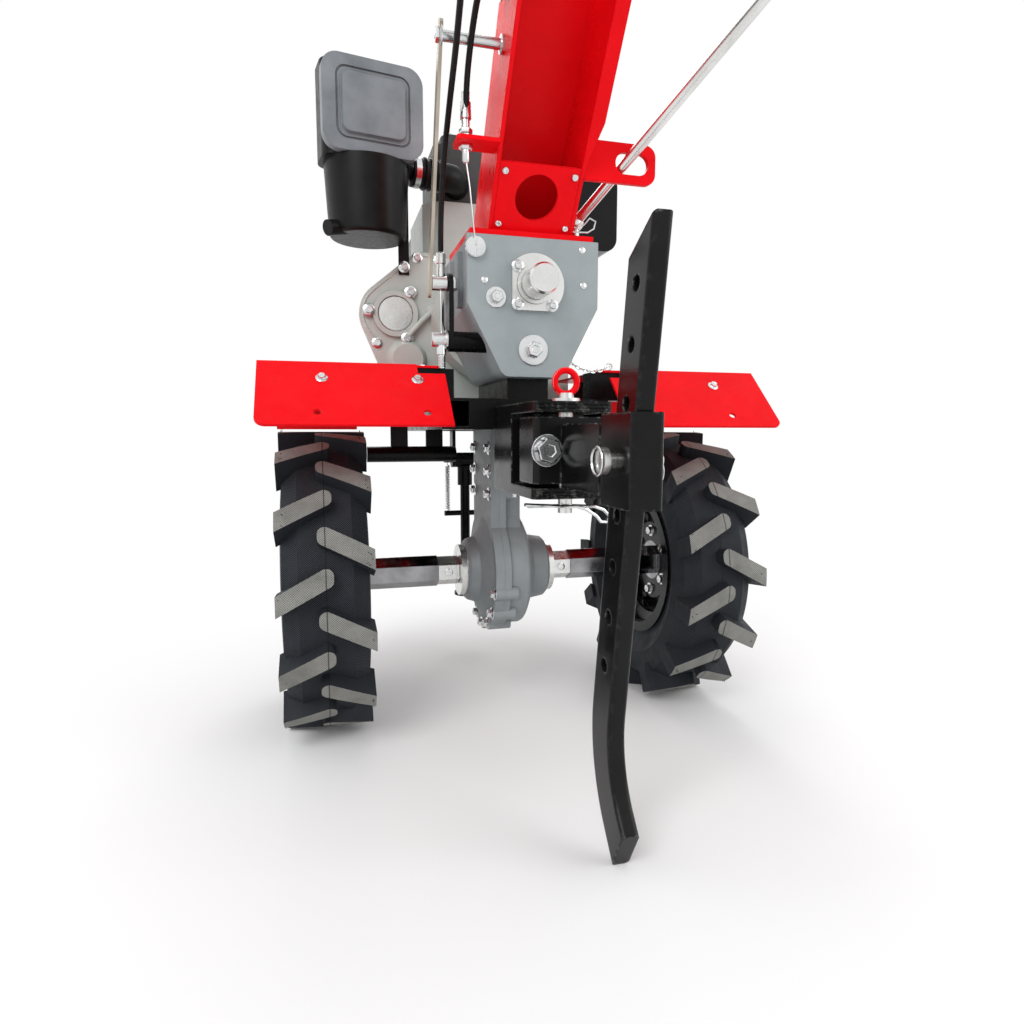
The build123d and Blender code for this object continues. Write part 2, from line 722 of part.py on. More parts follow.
with BuildPart() as gearbox_case:
    with BuildSketch(facing_back(GEARBOX_FRONT_Y)):
        with BuildLine():
            Polyline(*gearbox_corners(COVER_LIP), close=True)
        make_face()
        fillet(vertices().group_by(Axis.Y)[0], COVER_CORNER_R)
    extrude(amount=GEARBOX_FRONT_Y - GEARBOX_REAR_Y - COVER_T)
    for sign in (-1, 1):
        for setback in RIB_SETBACKS:
            with Locations((sign * (GEARBOX_HALF_W - COVER_LIP), AXLE_Y - setback, GEARBOX_BOTTOM_Z + RIB_Z)):
                Box(RIB_T, RIB_T, RIB_H)

with BuildPart() as pto_flange:
    with BuildSketch(facing_back(GEARBOX_REAR_Y)):
        with Locations((0, PTO_Z)):
            Circle(PTO_FLANGE_R)
            Circle(PTO_SHOULDER_R + WHEEL_FIT, mode=Mode.SUBTRACT)
        with Locations((-PTO_CUT_LEFT - PTO_FLANGE_R, PTO_Z), (0, PTO_Z - PTO_CUT_LOW - PTO_FLANGE_R)):
            Rectangle(2 * PTO_FLANGE_R, 2 * PTO_FLANGE_R, mode=Mode.SUBTRACT)
    extrude(amount=PTO_FLANGE_T)

with BuildPart() as pto_shaft:
    with BuildSketch(facing_back(GEARBOX_REAR_Y)):
        with Locations((0, PTO_Z)):
            Circle(PTO_R)
    extrude(amount=PTO_LENGTH)
    chamfer(pto_shaft.faces().sort_by(Axis.Y)[0].edges(), PTO_EDGE)
    with BuildSketch(facing_back(GEARBOX_REAR_Y - PTO_SHOULDER_T)):
        with Locations((0, PTO_Z)):
            Circle(PTO_R)
            Circle(PTO_R - PTO_GROOVE_D, mode=Mode.SUBTRACT)
    extrude(amount=PTO_GROOVE_W, mode=Mode.SUBTRACT)
    with BuildSketch(facing_back(GEARBOX_REAR_Y)):
        with Locations((0, PTO_Z)):
            Circle(PTO_SHOULDER_R)
    extrude(amount=PTO_SHOULDER_T)

# Handle column: base plate and leaning channel, with the closing plate at its foot

CLOSER_PLANE = Plane(
    origin=COLUMN_PLANE.from_local_coords((0, -COLUMN_D / 2, COLUMN_WINDOW_ALONG)),
    x_dir=(1, 0, 0),
    z_dir=-COLUMN_PLANE.y_dir,
)

with BuildPart() as column:
    with BuildSketch(COLUMN_PLANE.offset(-COLUMN_D)):
        Rectangle(COLUMN_W, COLUMN_D)
        with Locations((0, -COLUMN_WALL)):
            Rectangle(COLUMN_W - 2 * COLUMN_WALL, COLUMN_D, mode=Mode.SUBTRACT)
    extrude(amount=COLUMN_D + COLUMN_LENGTH)
    split(bisect_by=Plane.XY.offset(COLUMN_BASE_Z), keep=Keep.TOP)
    with Locations((0, COLUMN_Y + BASE_PLATE_SHIFT, COLUMN_BASE_Z - BASE_PLATE_T / 2)):
        Box(2 * GEARBOX_HALF_W - 2 * COVER_LIP, BASE_PLATE_LENGTH, BASE_PLATE_T)
    with BuildSketch(CLOSER_PLANE):
        with BuildLine():
            Polyline(
                (COLUMN_W / 2, LIP_ALONG - COLUMN_WINDOW_ALONG),
                (COLUMN_W / 2 + LIP_W, LIP_ALONG + 4 * LIP_W - COLUMN_WINDOW_ALONG),
                (COLUMN_W / 2 + LIP_W, PIVOT_ALONG - 3 * LIP_W - COLUMN_WINDOW_ALONG),
                (COLUMN_W / 2, PIVOT_ALONG - 2 * LIP_W - COLUMN_WINDOW_ALONG),
                close=True,
            )
        make_face()
    extrude(amount=-COLUMN_WALL)

with BuildPart() as column_closer:
    with BuildSketch(COLUMN_PLANE.offset(-COLUMN_D)):
        with Locations((0, (COLUMN_WALL - COLUMN_D) / 2)):
            Rectangle(COLUMN_W - 2 * COLUMN_WALL - 2 * SHEET_FIT, COLUMN_WALL)
    extrude(amount=COLUMN_D + COLUMN_CLOSER_H)
    split(bisect_by=Plane.XY.offset(COLUMN_BASE_Z), keep=Keep.TOP)
    with BuildSketch(CLOSER_PLANE):
        Circle(COLUMN_WINDOW_R)
    extrude(amount=-2 * COLUMN_WALL, mode=Mode.SUBTRACT)

# Shift linkage: slotted guide on the column's right wall and the rod that slides in it

with BuildPart() as shift_guide:
    with BuildSketch(facing_back(GUIDE_Y)):
        with Locations((COLUMN_W / 2 + GUIDE_REACH / 2, GUIDE_Z)):
            RectangleRounded(GUIDE_REACH, GUIDE_H, GUIDE_CORNER_R)
        with Locations((COLUMN_W / 2 + GUIDE_REACH / 4, GUIDE_Z)):
            Rectangle(GUIDE_REACH / 2, GUIDE_H)
        with Locations((GUIDE_SLOT_X, GUIDE_Z)):
            SlotOverall(GUIDE_SLOT_L, GUIDE_SLOT_H, mode=Mode.SUBTRACT)
    extrude(amount=GUIDE_T)

ROD_AT_GUIDE = Vector(GUIDE_SLOT_X - ROD_OFFSET, GUIDE_Y - GUIDE_T / 2, GUIDE_Z)
ROD_DIR = Vector(*ROD_SLOPE).normalized()
ROD_LOW = ROD_AT_GUIDE - ROD_DIR * ROD_BELOW
ROD_HIGH = ROD_AT_GUIDE + ROD_DIR * ROD_ABOVE

with BuildPart() as shift_rod:
    with BuildSketch(Plane(origin=ROD_LOW, z_dir=ROD_DIR)):
        Circle(ROD_R)
    extrude(amount=ROD_BELOW + ROD_ABOVE)
    with Locations(ROD_HIGH):
        Sphere(KNOB_R)
    with Locations(ROD_LOW):
        Sphere(BALL_R)
    with BuildSketch(Plane.XY.offset(COLUMN_BASE_Z)):
        with Locations((ROD_LOW.X, ROD_LOW.Y)):
            Circle(BALL_STUD_R)
    extrude(amount=ROD_LOW.Z - COLUMN_BASE_Z)

# Clutch lever: boss on the gearbox's side with an upright arm and the eye that holds the cable's end

with BuildPart() as clutch_lever:
    with BuildSketch(across(CLUTCH_ARM_X)):
        with Locations((CLUTCH_Y, CLUTCH_Z)):
            Circle(CLUTCH_BOSS_R)
    extrude(until=Until.NEXT, target=gearbox_case.part)
    with BuildSketch(across(CLUTCH_ARM_X - CLUTCH_ARM_T)):
        with Locations((CLUTCH_Y, CLUTCH_Z + CLUTCH_ARM_L / 2)):
            SlotCenterToCenter(CLUTCH_ARM_L, CLUTCH_ARM_W, rotation=90)
    extrude(amount=CLUTCH_ARM_T)
    with BuildSketch(across(CLUTCH_ARM_X - CLUTCH_ARM_T - CLUTCH_EYE_L)):
        with Locations((CLUTCH_Y, CLUTCH_Z + CLUTCH_ARM_L)):
            Circle(CLUTCH_EYE_R)
    extrude(amount=CLUTCH_EYE_L)

with BuildPart() as cable_tab:
    with BuildSketch(Plane.XY.offset(TAB_Z)):
        with Locations((-COLUMN_W / 2 - TAB_REACH / 2, TAB_Y)):
            RectangleRounded(TAB_REACH, TAB_W, TAB_T)
        with Locations((-COLUMN_W / 2 - TAB_REACH / 4, TAB_Y)):
            Rectangle(TAB_REACH / 2, TAB_W)
        with Locations((-COLUMN_W / 2 - TAB_HOLE_REACH, TAB_Y)):
            Circle(CABLE_R + RUNNING_FIT, mode=Mode.SUBTRACT)
    extrude(amount=TAB_T)

# Hitch: seat bolted behind the bed, pin with an eye, and the swinging drawbar that carries the drag bar

HITCH_LENGTH = BED_REAR_Y - HITCH_REAR_Y
SEAT_H = HITCH_TOP_Z - HITCH_LOW_Z + 2 * HITCH_PLATE_T
SEAT_MID_Z = (HITCH_TOP_Z + HITCH_LOW_Z) / 2

with BuildPart() as hitch_seat:
    for z in (HITCH_LOW_Z - HITCH_PLATE_T, HITCH_TOP_Z):
        with BuildSketch(Plane.XY.offset(z)):
            with Locations((0, (BED_REAR_Y + HITCH_REAR_Y) / 2)):
                RectangleRounded(2 * HITCH_HALF_W, HITCH_LENGTH, HITCH_CORNER_R)
            with Locations((0, (BED_REAR_Y + HITCH_WEB_Y) / 2)):
                Rectangle(2 * HITCH_HALF_W, BED_REAR_Y - HITCH_WEB_Y)
            with Locations((0, PIN_Y)):
                Circle(PIN_R + RUNNING_FIT, mode=Mode.SUBTRACT)
        extrude(amount=HITCH_PLATE_T)
        for i in range(1, STACK_SHEETS):
            with Locations((0, HITCH_REAR_Y, z + i * HITCH_PLATE_T / STACK_SHEETS)):
                Box(2 * HITCH_HALF_W, 2 * STACK_GROOVE, STACK_GROOVE, mode=Mode.SUBTRACT)
    for y in (HITCH_WEB_Y, BED_REAR_Y - HITCH_WEB_T):
        with Locations((0, y + HITCH_WEB_T / 2, SEAT_MID_Z)):
            Box(2 * HITCH_HALF_W, HITCH_WEB_T, SEAT_H)
    for sign in (-1, 1):
        with Locations((sign * (HITCH_HALF_W - HITCH_WEB_T / 2), (BED_REAR_Y + HITCH_WEB_Y) / 2, SEAT_MID_Z)):
            Box(HITCH_WEB_T, BED_REAR_Y - HITCH_WEB_Y, SEAT_H)

PIN_TOP_Z = HITCH_TOP_Z + HITCH_PLATE_T + PIN_ABOVE
PIN_LOW_Z = HITCH_LOW_Z - HITCH_PLATE_T - PIN_BELOW

with BuildPart() as hitch_pin:
    with BuildSketch(Plane.XY.offset(PIN_LOW_Z)):
        with Locations((0, PIN_Y)):
            Circle(PIN_R)
    extrude(amount=PIN_TOP_Z - PIN_LOW_Z)
    with BuildSketch(Plane.XY.offset(HITCH_TOP_Z + HITCH_PLATE_T)):
        with Locations((0, PIN_Y)):
            Circle(PIN_COLLAR_R)
    extrude(amount=PIN_COLLAR_T)
    with Locations(Location((0, PIN_Y, PIN_TOP_Z + PIN_EYE_R - PIN_EYE_SINK), (90, 0, 0))):
        Torus(PIN_EYE_R, PIN_EYE_TUBE_R)

BLOCK_LOW_Z = HITCH_LOW_Z + BLOCK_GAP
BLOCK_TOP_Z = HITCH_TOP_Z - BLOCK_GAP
SLEEVE_MID_Z = SEAT_MID_Z - SLEEVE_DROP
SLEEVE_HALF_X = BAR_T / 2 + SLEEVE_FIT + SLEEVE_WALL
SLEEVE_INNER_Y = BAR_W / cos(radians(BAR_LEAN)) + SLEEVE_H * sin(radians(BAR_LEAN)) + 2 * SLEEVE_FIT
SLEEVE_OUTER_Y = SLEEVE_INNER_Y + 2 * SLEEVE_WALL
ARM_START_Y = PIN_Y - BLOCK_LENGTH / 2
ARM_END_Y = BAR_Y + SLEEVE_OUTER_Y / 2

with BuildPart() as drawbar:
    with Locations((0, PIN_Y, (BLOCK_LOW_Z + BLOCK_TOP_Z) / 2)):
        Box(2 * BLOCK_HALF_W, BLOCK_LENGTH, BLOCK_TOP_Z - BLOCK_LOW_Z)
    fillet(drawbar.edges().filter_by(Axis.Z), BLOCK_EDGE_R)
    offset(amount=-BLOCK_WALL, openings=drawbar.faces().sort_by(Axis.Y)[-1])
    with BuildSketch(Plane.XY.offset(BLOCK_LOW_Z)):
        with Locations((0, PIN_Y)):
            Circle(BLOCK_TUBE_R)
    extrude(amount=BLOCK_TOP_Z - BLOCK_LOW_Z)
    for sign in (-1, 1):
        with Locations((sign * (SLEEVE_HALF_X - ARM_T / 2), (ARM_START_Y + ARM_END_Y) / 2, SLEEVE_MID_Z)):
            Box(ARM_T, ARM_START_Y - ARM_END_Y, ARM_H)
    with BuildSketch(Plane.XY.offset(SLEEVE_MID_Z - SLEEVE_H / 2)):
        with Locations((0, BAR_Y)):
            RectangleRounded(2 * SLEEVE_HALF_X, SLEEVE_OUTER_Y, SLEEVE_EDGE_R)
            Rectangle(BAR_T + 2 * SLEEVE_FIT, SLEEVE_INNER_Y, mode=Mode.SUBTRACT)
    extrude(amount=SLEEVE_H)
    for sign in (-1, 1):
        with BuildSketch(facing_back(PIN_Y + LIMIT_BOLT_REACH)):
            with Locations((sign * LIMIT_BOLT_X, SEAT_MID_Z)):
                Circle(LIMIT_BOLT_R)
        extrude(amount=LIMIT_BOLT_REACH + BLOCK_LENGTH / 2)
        with BuildSketch(facing_back(ARM_START_Y)):
            with Locations((sign * LIMIT_BOLT_X, SEAT_MID_Z)):
                RegularPolygon(LIMIT_BOLT_R * 1.7, 6)
        extrude(amount=LIMIT_BOLT_R * 1.3)
    with BuildSketch(Plane.XY.offset(BLOCK_LOW_Z)):
        with Locations((0, PIN_Y)):
            Circle(PIN_R + RUNNING_FIT)
    extrude(amount=BLOCK_TOP_Z - BLOCK_LOW_Z, mode=Mode.SUBTRACT)
    with BuildSketch(across(-SLEEVE_HALF_X)):
        with Locations((BAR_Y, SLEEVE_MID_Z)):
            Circle(BAR_HOLE_R)
    extrude(amount=2 * SLEEVE_HALF_X, mode=Mode.SUBTRACT)

HOOK_END_ANGLE = BAR_HOOK_TURN - BAR_LEAN
HOOK_END_Z = BAR_W / 2 * sin(radians(HOOK_END_ANGLE))
HOOK_TOP_Z = (
    HOOK_END_Z
    + BAR_TAIL * cos(radians(HOOK_END_ANGLE))
    + BAR_HOOK_R * (sin(radians(BAR_LEAN)) + sin(radians(HOOK_END_ANGLE)))
)
BAR_SLOPE = sin(radians(BAR_LEAN)) / cos(radians(BAR_LEAN))

with BuildPart() as drag_bar:
    with BuildLine(Plane.YZ) as bar_path:
        straight = Line(
            (BAR_Y + BAR_SLOPE * (SLEEVE_MID_Z - BAR_TOP_Z), BAR_TOP_Z),
            (BAR_Y + BAR_SLOPE * (SLEEVE_MID_Z - HOOK_TOP_Z), HOOK_TOP_Z),
        )
        hook = JernArc(straight @ 1, straight % 1, BAR_HOOK_R, -BAR_HOOK_TURN)
        Line(hook @ 1, hook @ 1 + (hook % 1) * BAR_TAIL)
    with BuildSketch(Plane(origin=straight @ 0, x_dir=(1, 0, 0), z_dir=straight % 0)):
        RectangleRounded(BAR_T, BAR_W, BAR_EDGE_R)
    sweep(path=bar_path.line)
    bar_up = Vector(0, -sin(radians(BAR_LEAN)), cos(radians(BAR_LEAN)))
    bar_front = Vector(0, cos(radians(BAR_LEAN)), sin(radians(BAR_LEAN)))
    tail_down = Vector(0, -sin(radians(HOOK_END_ANGLE)), -cos(radians(HOOK_END_ANGLE)))
    tail_front = Vector(0, cos(radians(HOOK_END_ANGLE)), -sin(radians(HOOK_END_ANGLE)))
    top_cut = bar_up * cos(radians(BAR_TOP_CUT)) + bar_front * sin(radians(BAR_TOP_CUT))
    tip_cut = tail_down * cos(radians(BAR_TIP_CUT)) - tail_front * sin(radians(BAR_TIP_CUT))
    top_corner = bar_path.line @ 0 - bar_front * (BAR_W / 2)
    tip_corner = bar_path.line @ 1 + tail_front * (BAR_W / 2)
    split(bisect_by=Plane(origin=top_corner, z_dir=top_cut), keep=Keep.BOTTOM)
    split(bisect_by=Plane(origin=tip_corner, z_dir=tip_cut), keep=Keep.BOTTOM)
    for i in range(-BAR_HOLES_BELOW, BAR_HOLES_ABOVE + 1):
        along = i * BAR_HOLE_PITCH
        z = SLEEVE_MID_Z + along * cos(radians(BAR_LEAN))
        y = BAR_Y - along * sin(radians(BAR_LEAN))
        with BuildSketch(across(-BAR_T)):
            with Locations((y, z)):
                Circle(BAR_HOLE_R)
        extrude(amount=2 * BAR_T, mode=Mode.SUBTRACT)

with BuildPart() as drag_pin:
    with BuildSketch(across(-SLEEVE_HALF_X - DRAG_PIN_REACH)):
        with Locations((BAR_Y, SLEEVE_MID_Z)):
            Circle(BAR_HOLE_R - RUNNING_FIT)
    extrude(amount=2 * SLEEVE_HALF_X + 2 * DRAG_PIN_REACH)
    with BuildSketch(across(-SLEEVE_HALF_X - DRAG_PIN_REACH)):
        with Locations((BAR_Y, SLEEVE_MID_Z)):
            Circle(DRAG_HEAD_R)
    extrude(amount=DRAG_HEAD_T)

# Prop stand: leg, collar, cross pin and foot on one bolt, with two springs beside the leg

STAND_FOOT_Z = STAND_PIVOT_Z - STAND_LENGTH

with BuildPart() as stand_leg:
    with BuildSketch(Plane.XY.offset(STAND_FOOT_Z)):
        with Locations((0, STAND_Y)):
            Circle(STAND_LEG_R)
    extrude(amount=STAND_LENGTH)
    with BuildSketch(Plane.XY.offset(STAND_FOOT_Z)):
        with Locations((0, STAND_Y)):
            Circle(STAND_FOOT_R)
    extrude(amount=STAND_FOOT_T)
    with BuildSketch(Plane.XY.offset(STAND_PIVOT_Z - STAND_COLLAR_DROP)):
        with Locations((0, STAND_Y)):
            Circle(STAND_COLLAR_R)
    extrude(amount=STAND_COLLAR_H)
    with BuildSketch(across(-STAND_EAR_X + STAND_EAR_GAP)):
        with Locations((STAND_Y, STAND_PIVOT_Z)):
            Circle(STAND_COLLAR_R)
    extrude(amount=2 * STAND_EAR_X - 2 * STAND_EAR_GAP)
    for z in (STAND_PIVOT_Z, STAND_PIVOT_Z - SPRING_LENGTH - 2 * STAND_BOLT_R):
        with BuildSketch(across(-SPRING_X - STAND_PIN_OVERHANG)):
            with Locations((STAND_Y, z)):
                Circle(STAND_BOLT_R)
        extrude(amount=2 * SPRING_X + 2 * STAND_PIN_OVERHANG)

with BuildPart() as stand_springs:
    for sign in (-1, 1):
        with BuildSketch(Plane.XY.offset(STAND_PIVOT_Z - STAND_BOLT_R - SPRING_LENGTH)):
            with Locations((sign * SPRING_X, STAND_Y)):
                Circle(SPRING_R)
        extrude(amount=SPRING_LENGTH)

# Bed: box rails and cross members with gearbox foot, fender outriggers, stand ears and end plates, welded

# Cross members: (place along the machine, depth)
CROSS_MEMBERS = (
    (BED_REAR_Y + CROSS_DEPTH / 2, CROSS_DEPTH),
    (AXLE_Y, 2 * LEG_HALF_Y + 2 * LEG_FLANGE),
    (STAND_Y, CROSS_DEPTH),
    (BED_FRONT_Y - CROSS_DEPTH / 2, CROSS_DEPTH),
)

with BuildPart() as engine_bed:
    with BuildSketch(facing_back(BED_FRONT_Y)):
        for sign in (-1, 1):
            with Locations((sign * RAIL_X, BED_TOP_Z - RAIL_H / 2)):
                Rectangle(RAIL_W, RAIL_H)
                Rectangle(RAIL_W - 2 * RAIL_WALL, RAIL_H - 2 * RAIL_WALL, mode=Mode.SUBTRACT)
    extrude(amount=BED_FRONT_Y - BED_REAR_Y)
    for y, depth in CROSS_MEMBERS:
        with Locations((0, y, BED_TOP_Z - RAIL_H / 2)):
            Box(2 * RAIL_X - RAIL_W, depth, RAIL_H)
        with Locations((0, y, BED_TOP_Z - RAIL_H / 2)):
            Box(2 * RAIL_X - RAIL_W, depth - 2 * CROSS_WALL, RAIL_H - 2 * CROSS_WALL, mode=Mode.SUBTRACT)
    with Locations((0, (BED_REAR_Y + GEARBOX_FRONT_Y) / 2, BED_TOP_Z + GEARBOX_FOOT_H / 2)):
        Box(2 * GEARBOX_FOOT_HALF_W - 2 * GEARBOX_FOOT_INSET, GEARBOX_FRONT_Y - BED_REAR_Y, GEARBOX_FOOT_H)
    for sign in (-1, 1):
        with Locations((sign * RAIL_X, BED_FRONT_Y - RAIL_WALL / 2, BED_TOP_Z - RAIL_H / 2)):
            Box(RAIL_W, RAIL_WALL, RAIL_H)
        with Locations((sign * (OUTRIGGER_X - RAIL_X) / 2 + sign * RAIL_X, OUTRIGGER_Y, OUTRIGGER_MID_Z)):
            Box(OUTRIGGER_X - RAIL_X, OUTRIGGER_W, FENDER_TOP_Z - FENDER_T - BED_TOP_Z)
        with BuildSketch(across(sign * (STAND_EAR_X + STAND_EAR_T / 2) - STAND_EAR_T / 2)):
            with Locations((STAND_Y, (STAND_PIVOT_Z + BED_BOTTOM_Z) / 2)):
                Rectangle(2 * STAND_COLLAR_R, BED_BOTTOM_Z - STAND_PIVOT_Z)
            with Locations((STAND_Y, STAND_PIVOT_Z)):
                Circle(STAND_COLLAR_R)
                Circle(STAND_BOLT_R + RUNNING_FIT, mode=Mode.SUBTRACT)
        extrude(amount=STAND_EAR_T)

with BuildPart() as front_bumper:
    with BuildLine() as bumper_path:
        FilletPolyline(
            (-RAIL_X, BED_FRONT_Y, BED_TOP_Z - RAIL_H / 2),
            (-RAIL_X, BUMPER_Y, BED_TOP_Z - RAIL_H / 2),
            (-RAIL_X, BUMPER_Y, BUMPER_TOP_Z),
            (RAIL_X, BUMPER_Y, BUMPER_TOP_Z),
            (RAIL_X, BUMPER_Y, BED_TOP_Z - RAIL_H / 2),
            (RAIL_X, BED_FRONT_Y, BED_TOP_Z - RAIL_H / 2),
            radius=BUMPER_BEND_R,
        )
    with BuildSketch(Plane(origin=bumper_path.line @ 0, z_dir=bumper_path.line % 0)):
        Circle(BUMPER_R)
        Circle(BUMPER_R - BUMPER_WALL, mode=Mode.SUBTRACT)
    sweep(path=bumper_path.line)

# Fenders: one folded sheet each side, its rear flap notched at the inner top corner, on a stay under the rail

FLAP_PLANE = Plane(origin=(0, FENDER_REAR_Y, FENDER_TOP_Z), x_dir=(1, 0, 0), z_dir=(0, -1, 1))
# Bolt holes in the rear flap: (x, distance up the flap from its fold)
FLAP_HOLES = ((262.0, -30.0), (148.0, -30.0), (268.0, -88.0), (142.0, -88.0))


def flap_across(edge):
    """Whether an edge runs through the rear flap's sheet, across its thickness."""
    return abs(edge.length - FENDER_T) < 0.01 and edge.center().Y < FENDER_REAR_Y


with BuildPart() as fender_right:
    with BuildSketch(across(FENDER_INNER_X)):
        with BuildLine():
            Polyline(
                (FENDER_REAR_Y - FLAP_DROP, FENDER_TOP_Z - FLAP_DROP),
                (FENDER_REAR_Y, FENDER_TOP_Z),
                (FENDER_FRONT_Y, FENDER_TOP_Z),
                (FENDER_FRONT_Y + FLAP_DROP, FENDER_TOP_Z - FLAP_DROP),
            )
            offset(amount=FENDER_T, side=Side.RIGHT)
        make_face()
    extrude(amount=FENDER_OUTER_X - FENDER_INNER_X)
    with Locations((FENDER_INNER_X, FENDER_REAR_Y, FENDER_TOP_Z)):
        Box(2 * FLAP_NOTCH_X, 2 * FLAP_NOTCH_DROP, 2 * FLAP_NOTCH_DROP, mode=Mode.SUBTRACT)
    flap_corner = Vector(FENDER_OUTER_X, FENDER_REAR_Y - FLAP_DROP, FENDER_TOP_Z - FLAP_DROP)
    fillet(fender_right.edges().filter_by(flap_across).sort_by_distance(flap_corner)[0], FLAP_CORNER_R)
    with BuildSketch(FLAP_PLANE):
        with Locations(*FLAP_HOLES):
            Circle(FLAP_HOLE_R)
    extrude(amount=FENDER_T, both=True, mode=Mode.SUBTRACT)
    with Locations((FENDER_INNER_X, ENGINE_REAR_Y - ENGINE_GAP + FENDER_CUT_L / 2, FENDER_TOP_Z)):
        Box(2 * (FENDER_FRONT_X - FENDER_INNER_X), FENDER_CUT_L, 3 * FLAP_DROP, mode=Mode.SUBTRACT)

with BuildPart() as fender_stay_right:
    with BuildSketch(across(STAY_INNER_X)):
        with Locations((STAY_Y, STAY_Z)):
            Circle(STAY_R)
    extrude(amount=STAY_REACH - STAY_INNER_X)
    with Locations((RAIL_X, STAY_Y, (STAY_Z + BED_BOTTOM_Z) / 2)):
        Box(STRAP_W, STRAP_T, BED_BOTTOM_Z - STAY_Z)
    with Locations((STRAP_X, STAY_Y, (STAY_Z + FENDER_TOP_Z - FENDER_T) / 2)):
        Box(STRAP_W, STRAP_T, FENDER_TOP_Z - FENDER_T - STAY_Z)

# Engine: single cylinder, finned, with its gear cover to the rear and its blower to the front

CASE_REAR_Y = ENGINE_REAR_Y + GEAR_COVER_T
CASE_FRONT_Y = CASE_REAR_Y + CASE_LENGTH
CASE_TOP_Z = BED_TOP_Z + CASE_H
CYLINDER_Y = (CASE_REAR_Y + CASE_FRONT_Y) / 2
HEAD_Z = CASE_TOP_Z + FIN_COUNT * FIN_PITCH
ENGINE_MID_X = (ENGINE_X0 + ENGINE_X1) / 2

with BuildPart() as crankcase:
    with Locations((ENGINE_MID_X, CYLINDER_Y, BED_TOP_Z + CASE_H / 2)):
        Box(ENGINE_X1 - ENGINE_X0, CASE_LENGTH, CASE_H)
    fillet(crankcase.edges().filter_by(Axis.Y), CASE_EDGE_R)
    with Locations((ENGINE_MID_X, CYLINDER_Y, BED_TOP_Z + CASE_H / 2)):
        Box(
            ENGINE_X1 - ENGINE_X0 - 2 * CASE_WALL_X,
            CASE_LENGTH - 2 * CASE_WALL_Y,
            CASE_H - 2 * CASE_WALL_Z,
            mode=Mode.SUBTRACT,
        )
    with BuildSketch(facing_back(CASE_REAR_Y + CASE_ROUND_DEPTH)):
        for x, z, radius in GEAR_LOBES:
            with Locations((x, z)):
                Circle(radius - BLANK_RING)
        make_hull()
        with Locations((ENGINE_X0, CASE_TOP_Z + CASE_H / 2)):
            Rectangle(ENGINE_X1 - ENGINE_X0, CASE_H, mode=Mode.SUBTRACT)
        with Locations(((ENGINE_X0 + ENGINE_X1) / 2 + CASE_WALL_X, BED_TOP_Z + CASE_H / 2)):
            Rectangle(ENGINE_X1 - ENGINE_X0, CASE_H, mode=Mode.SUBTRACT)
    extrude(amount=CASE_ROUND_DEPTH)

with BuildPart() as gear_cover:
    with BuildSketch(facing_back(CASE_REAR_Y)):
        for x, z, radius in GEAR_LOBES:
            with Locations((x, z)):
                Circle(radius)
        with Locations((ENGINE_X1 - GEAR_END_R, CASE_TOP_Z - GEAR_END_R)):
            Circle(GEAR_END_R)
        with Locations((ENGINE_MID_X, BED_TOP_Z + GEAR_FOOT_H / 2)):
            RectangleRounded(ENGINE_X1 - ENGINE_X0, GEAR_FOOT_H, GEAR_FOOT_H / 3)
        make_hull()
    extrude(amount=GEAR_COVER_T)
    with BuildSketch(facing_back(ENGINE_REAR_Y)):
        with Locations((BLANK_X, BLANK_Z)):
            Circle(BLANK_R + BLANK_RING)
            with PolarLocations(EAR_CIRCLE_R, EAR_COUNT, start_angle=EAR_START):
                Circle(EAR_R)
            Circle(BLANK_R + WHEEL_FIT, mode=Mode.SUBTRACT)
    extrude(amount=BLANK_T)
    with BuildSketch(facing_back(ENGINE_REAR_Y)):
        with Locations((BULGE_X, BULGE_Z)):
            Circle(BULGE_R)
    extrude(amount=BULGE_H, taper=BULGE_TAPER)

with BuildPart() as cover_blank:
    with BuildSketch(facing_back(ENGINE_REAR_Y)):
        with Locations((BLANK_X, BLANK_Z)):
            Circle(BLANK_R)
    extrude(amount=BLANK_T)
    chamfer(cover_blank.faces().sort_by(Axis.Y)[0].edges(), BLANK_EDGE)

with BuildPart() as clutch_bell:
    with BuildSketch(facing_back(ENGINE_REAR_Y)):
        with Locations((0, CRANK_Z)):
            Circle(BELL_R)
            Circle(BELL_R - BELL_WALL, mode=Mode.SUBTRACT)
    extrude(amount=ENGINE_REAR_Y - GEARBOX_FRONT_Y)

with BuildPart() as cylinder:
    with BuildSketch(Plane.XY.offset(CASE_TOP_Z)):
        with Locations((0, CYLINDER_Y)):
            Circle(CYLINDER_R)
    extrude(amount=HEAD_Z - CASE_TOP_Z)
    for i in range(FIN_COUNT):
        with BuildSketch(Plane.XY.offset(CASE_TOP_Z + i * FIN_PITCH + FIN_PITCH / 2)):
            with Locations((0, CYLINDER_Y)):
                RectangleRounded(2 * FIN_HALF_W, 2 * FIN_HALF_D, FIN_CORNER_R)
        extrude(amount=FIN_T)
    with BuildSketch(Plane.XY.offset(CASE_TOP_Z)):
        with Locations((0, CYLINDER_Y)):
            Circle(BORE_R)
    extrude(amount=HEAD_Z - CASE_TOP_Z, mode=Mode.SUBTRACT)

with BuildPart() as air_guide:
    with BuildSketch(Plane.XY.offset(CASE_TOP_Z)):
        with BuildLine():
            Polyline(
                (AIR_GUIDE_END_X, CYLINDER_Y - FIN_HALF_D - AIR_GUIDE_GAP),
                (-FIN_HALF_W + AIR_GUIDE_LAP, CYLINDER_Y - FIN_HALF_D - AIR_GUIDE_GAP),
                (-FIN_HALF_W - AIR_GUIDE_GAP, CYLINDER_Y - FIN_HALF_D + AIR_GUIDE_LAP),
                (-FIN_HALF_W - AIR_GUIDE_GAP, CASE_FRONT_Y),
            )
            offset(amount=AIR_GUIDE_T, side=Side.LEFT)
        make_face()
    extrude(amount=HEAD_Z + AIR_GUIDE_RISE - CASE_TOP_Z)

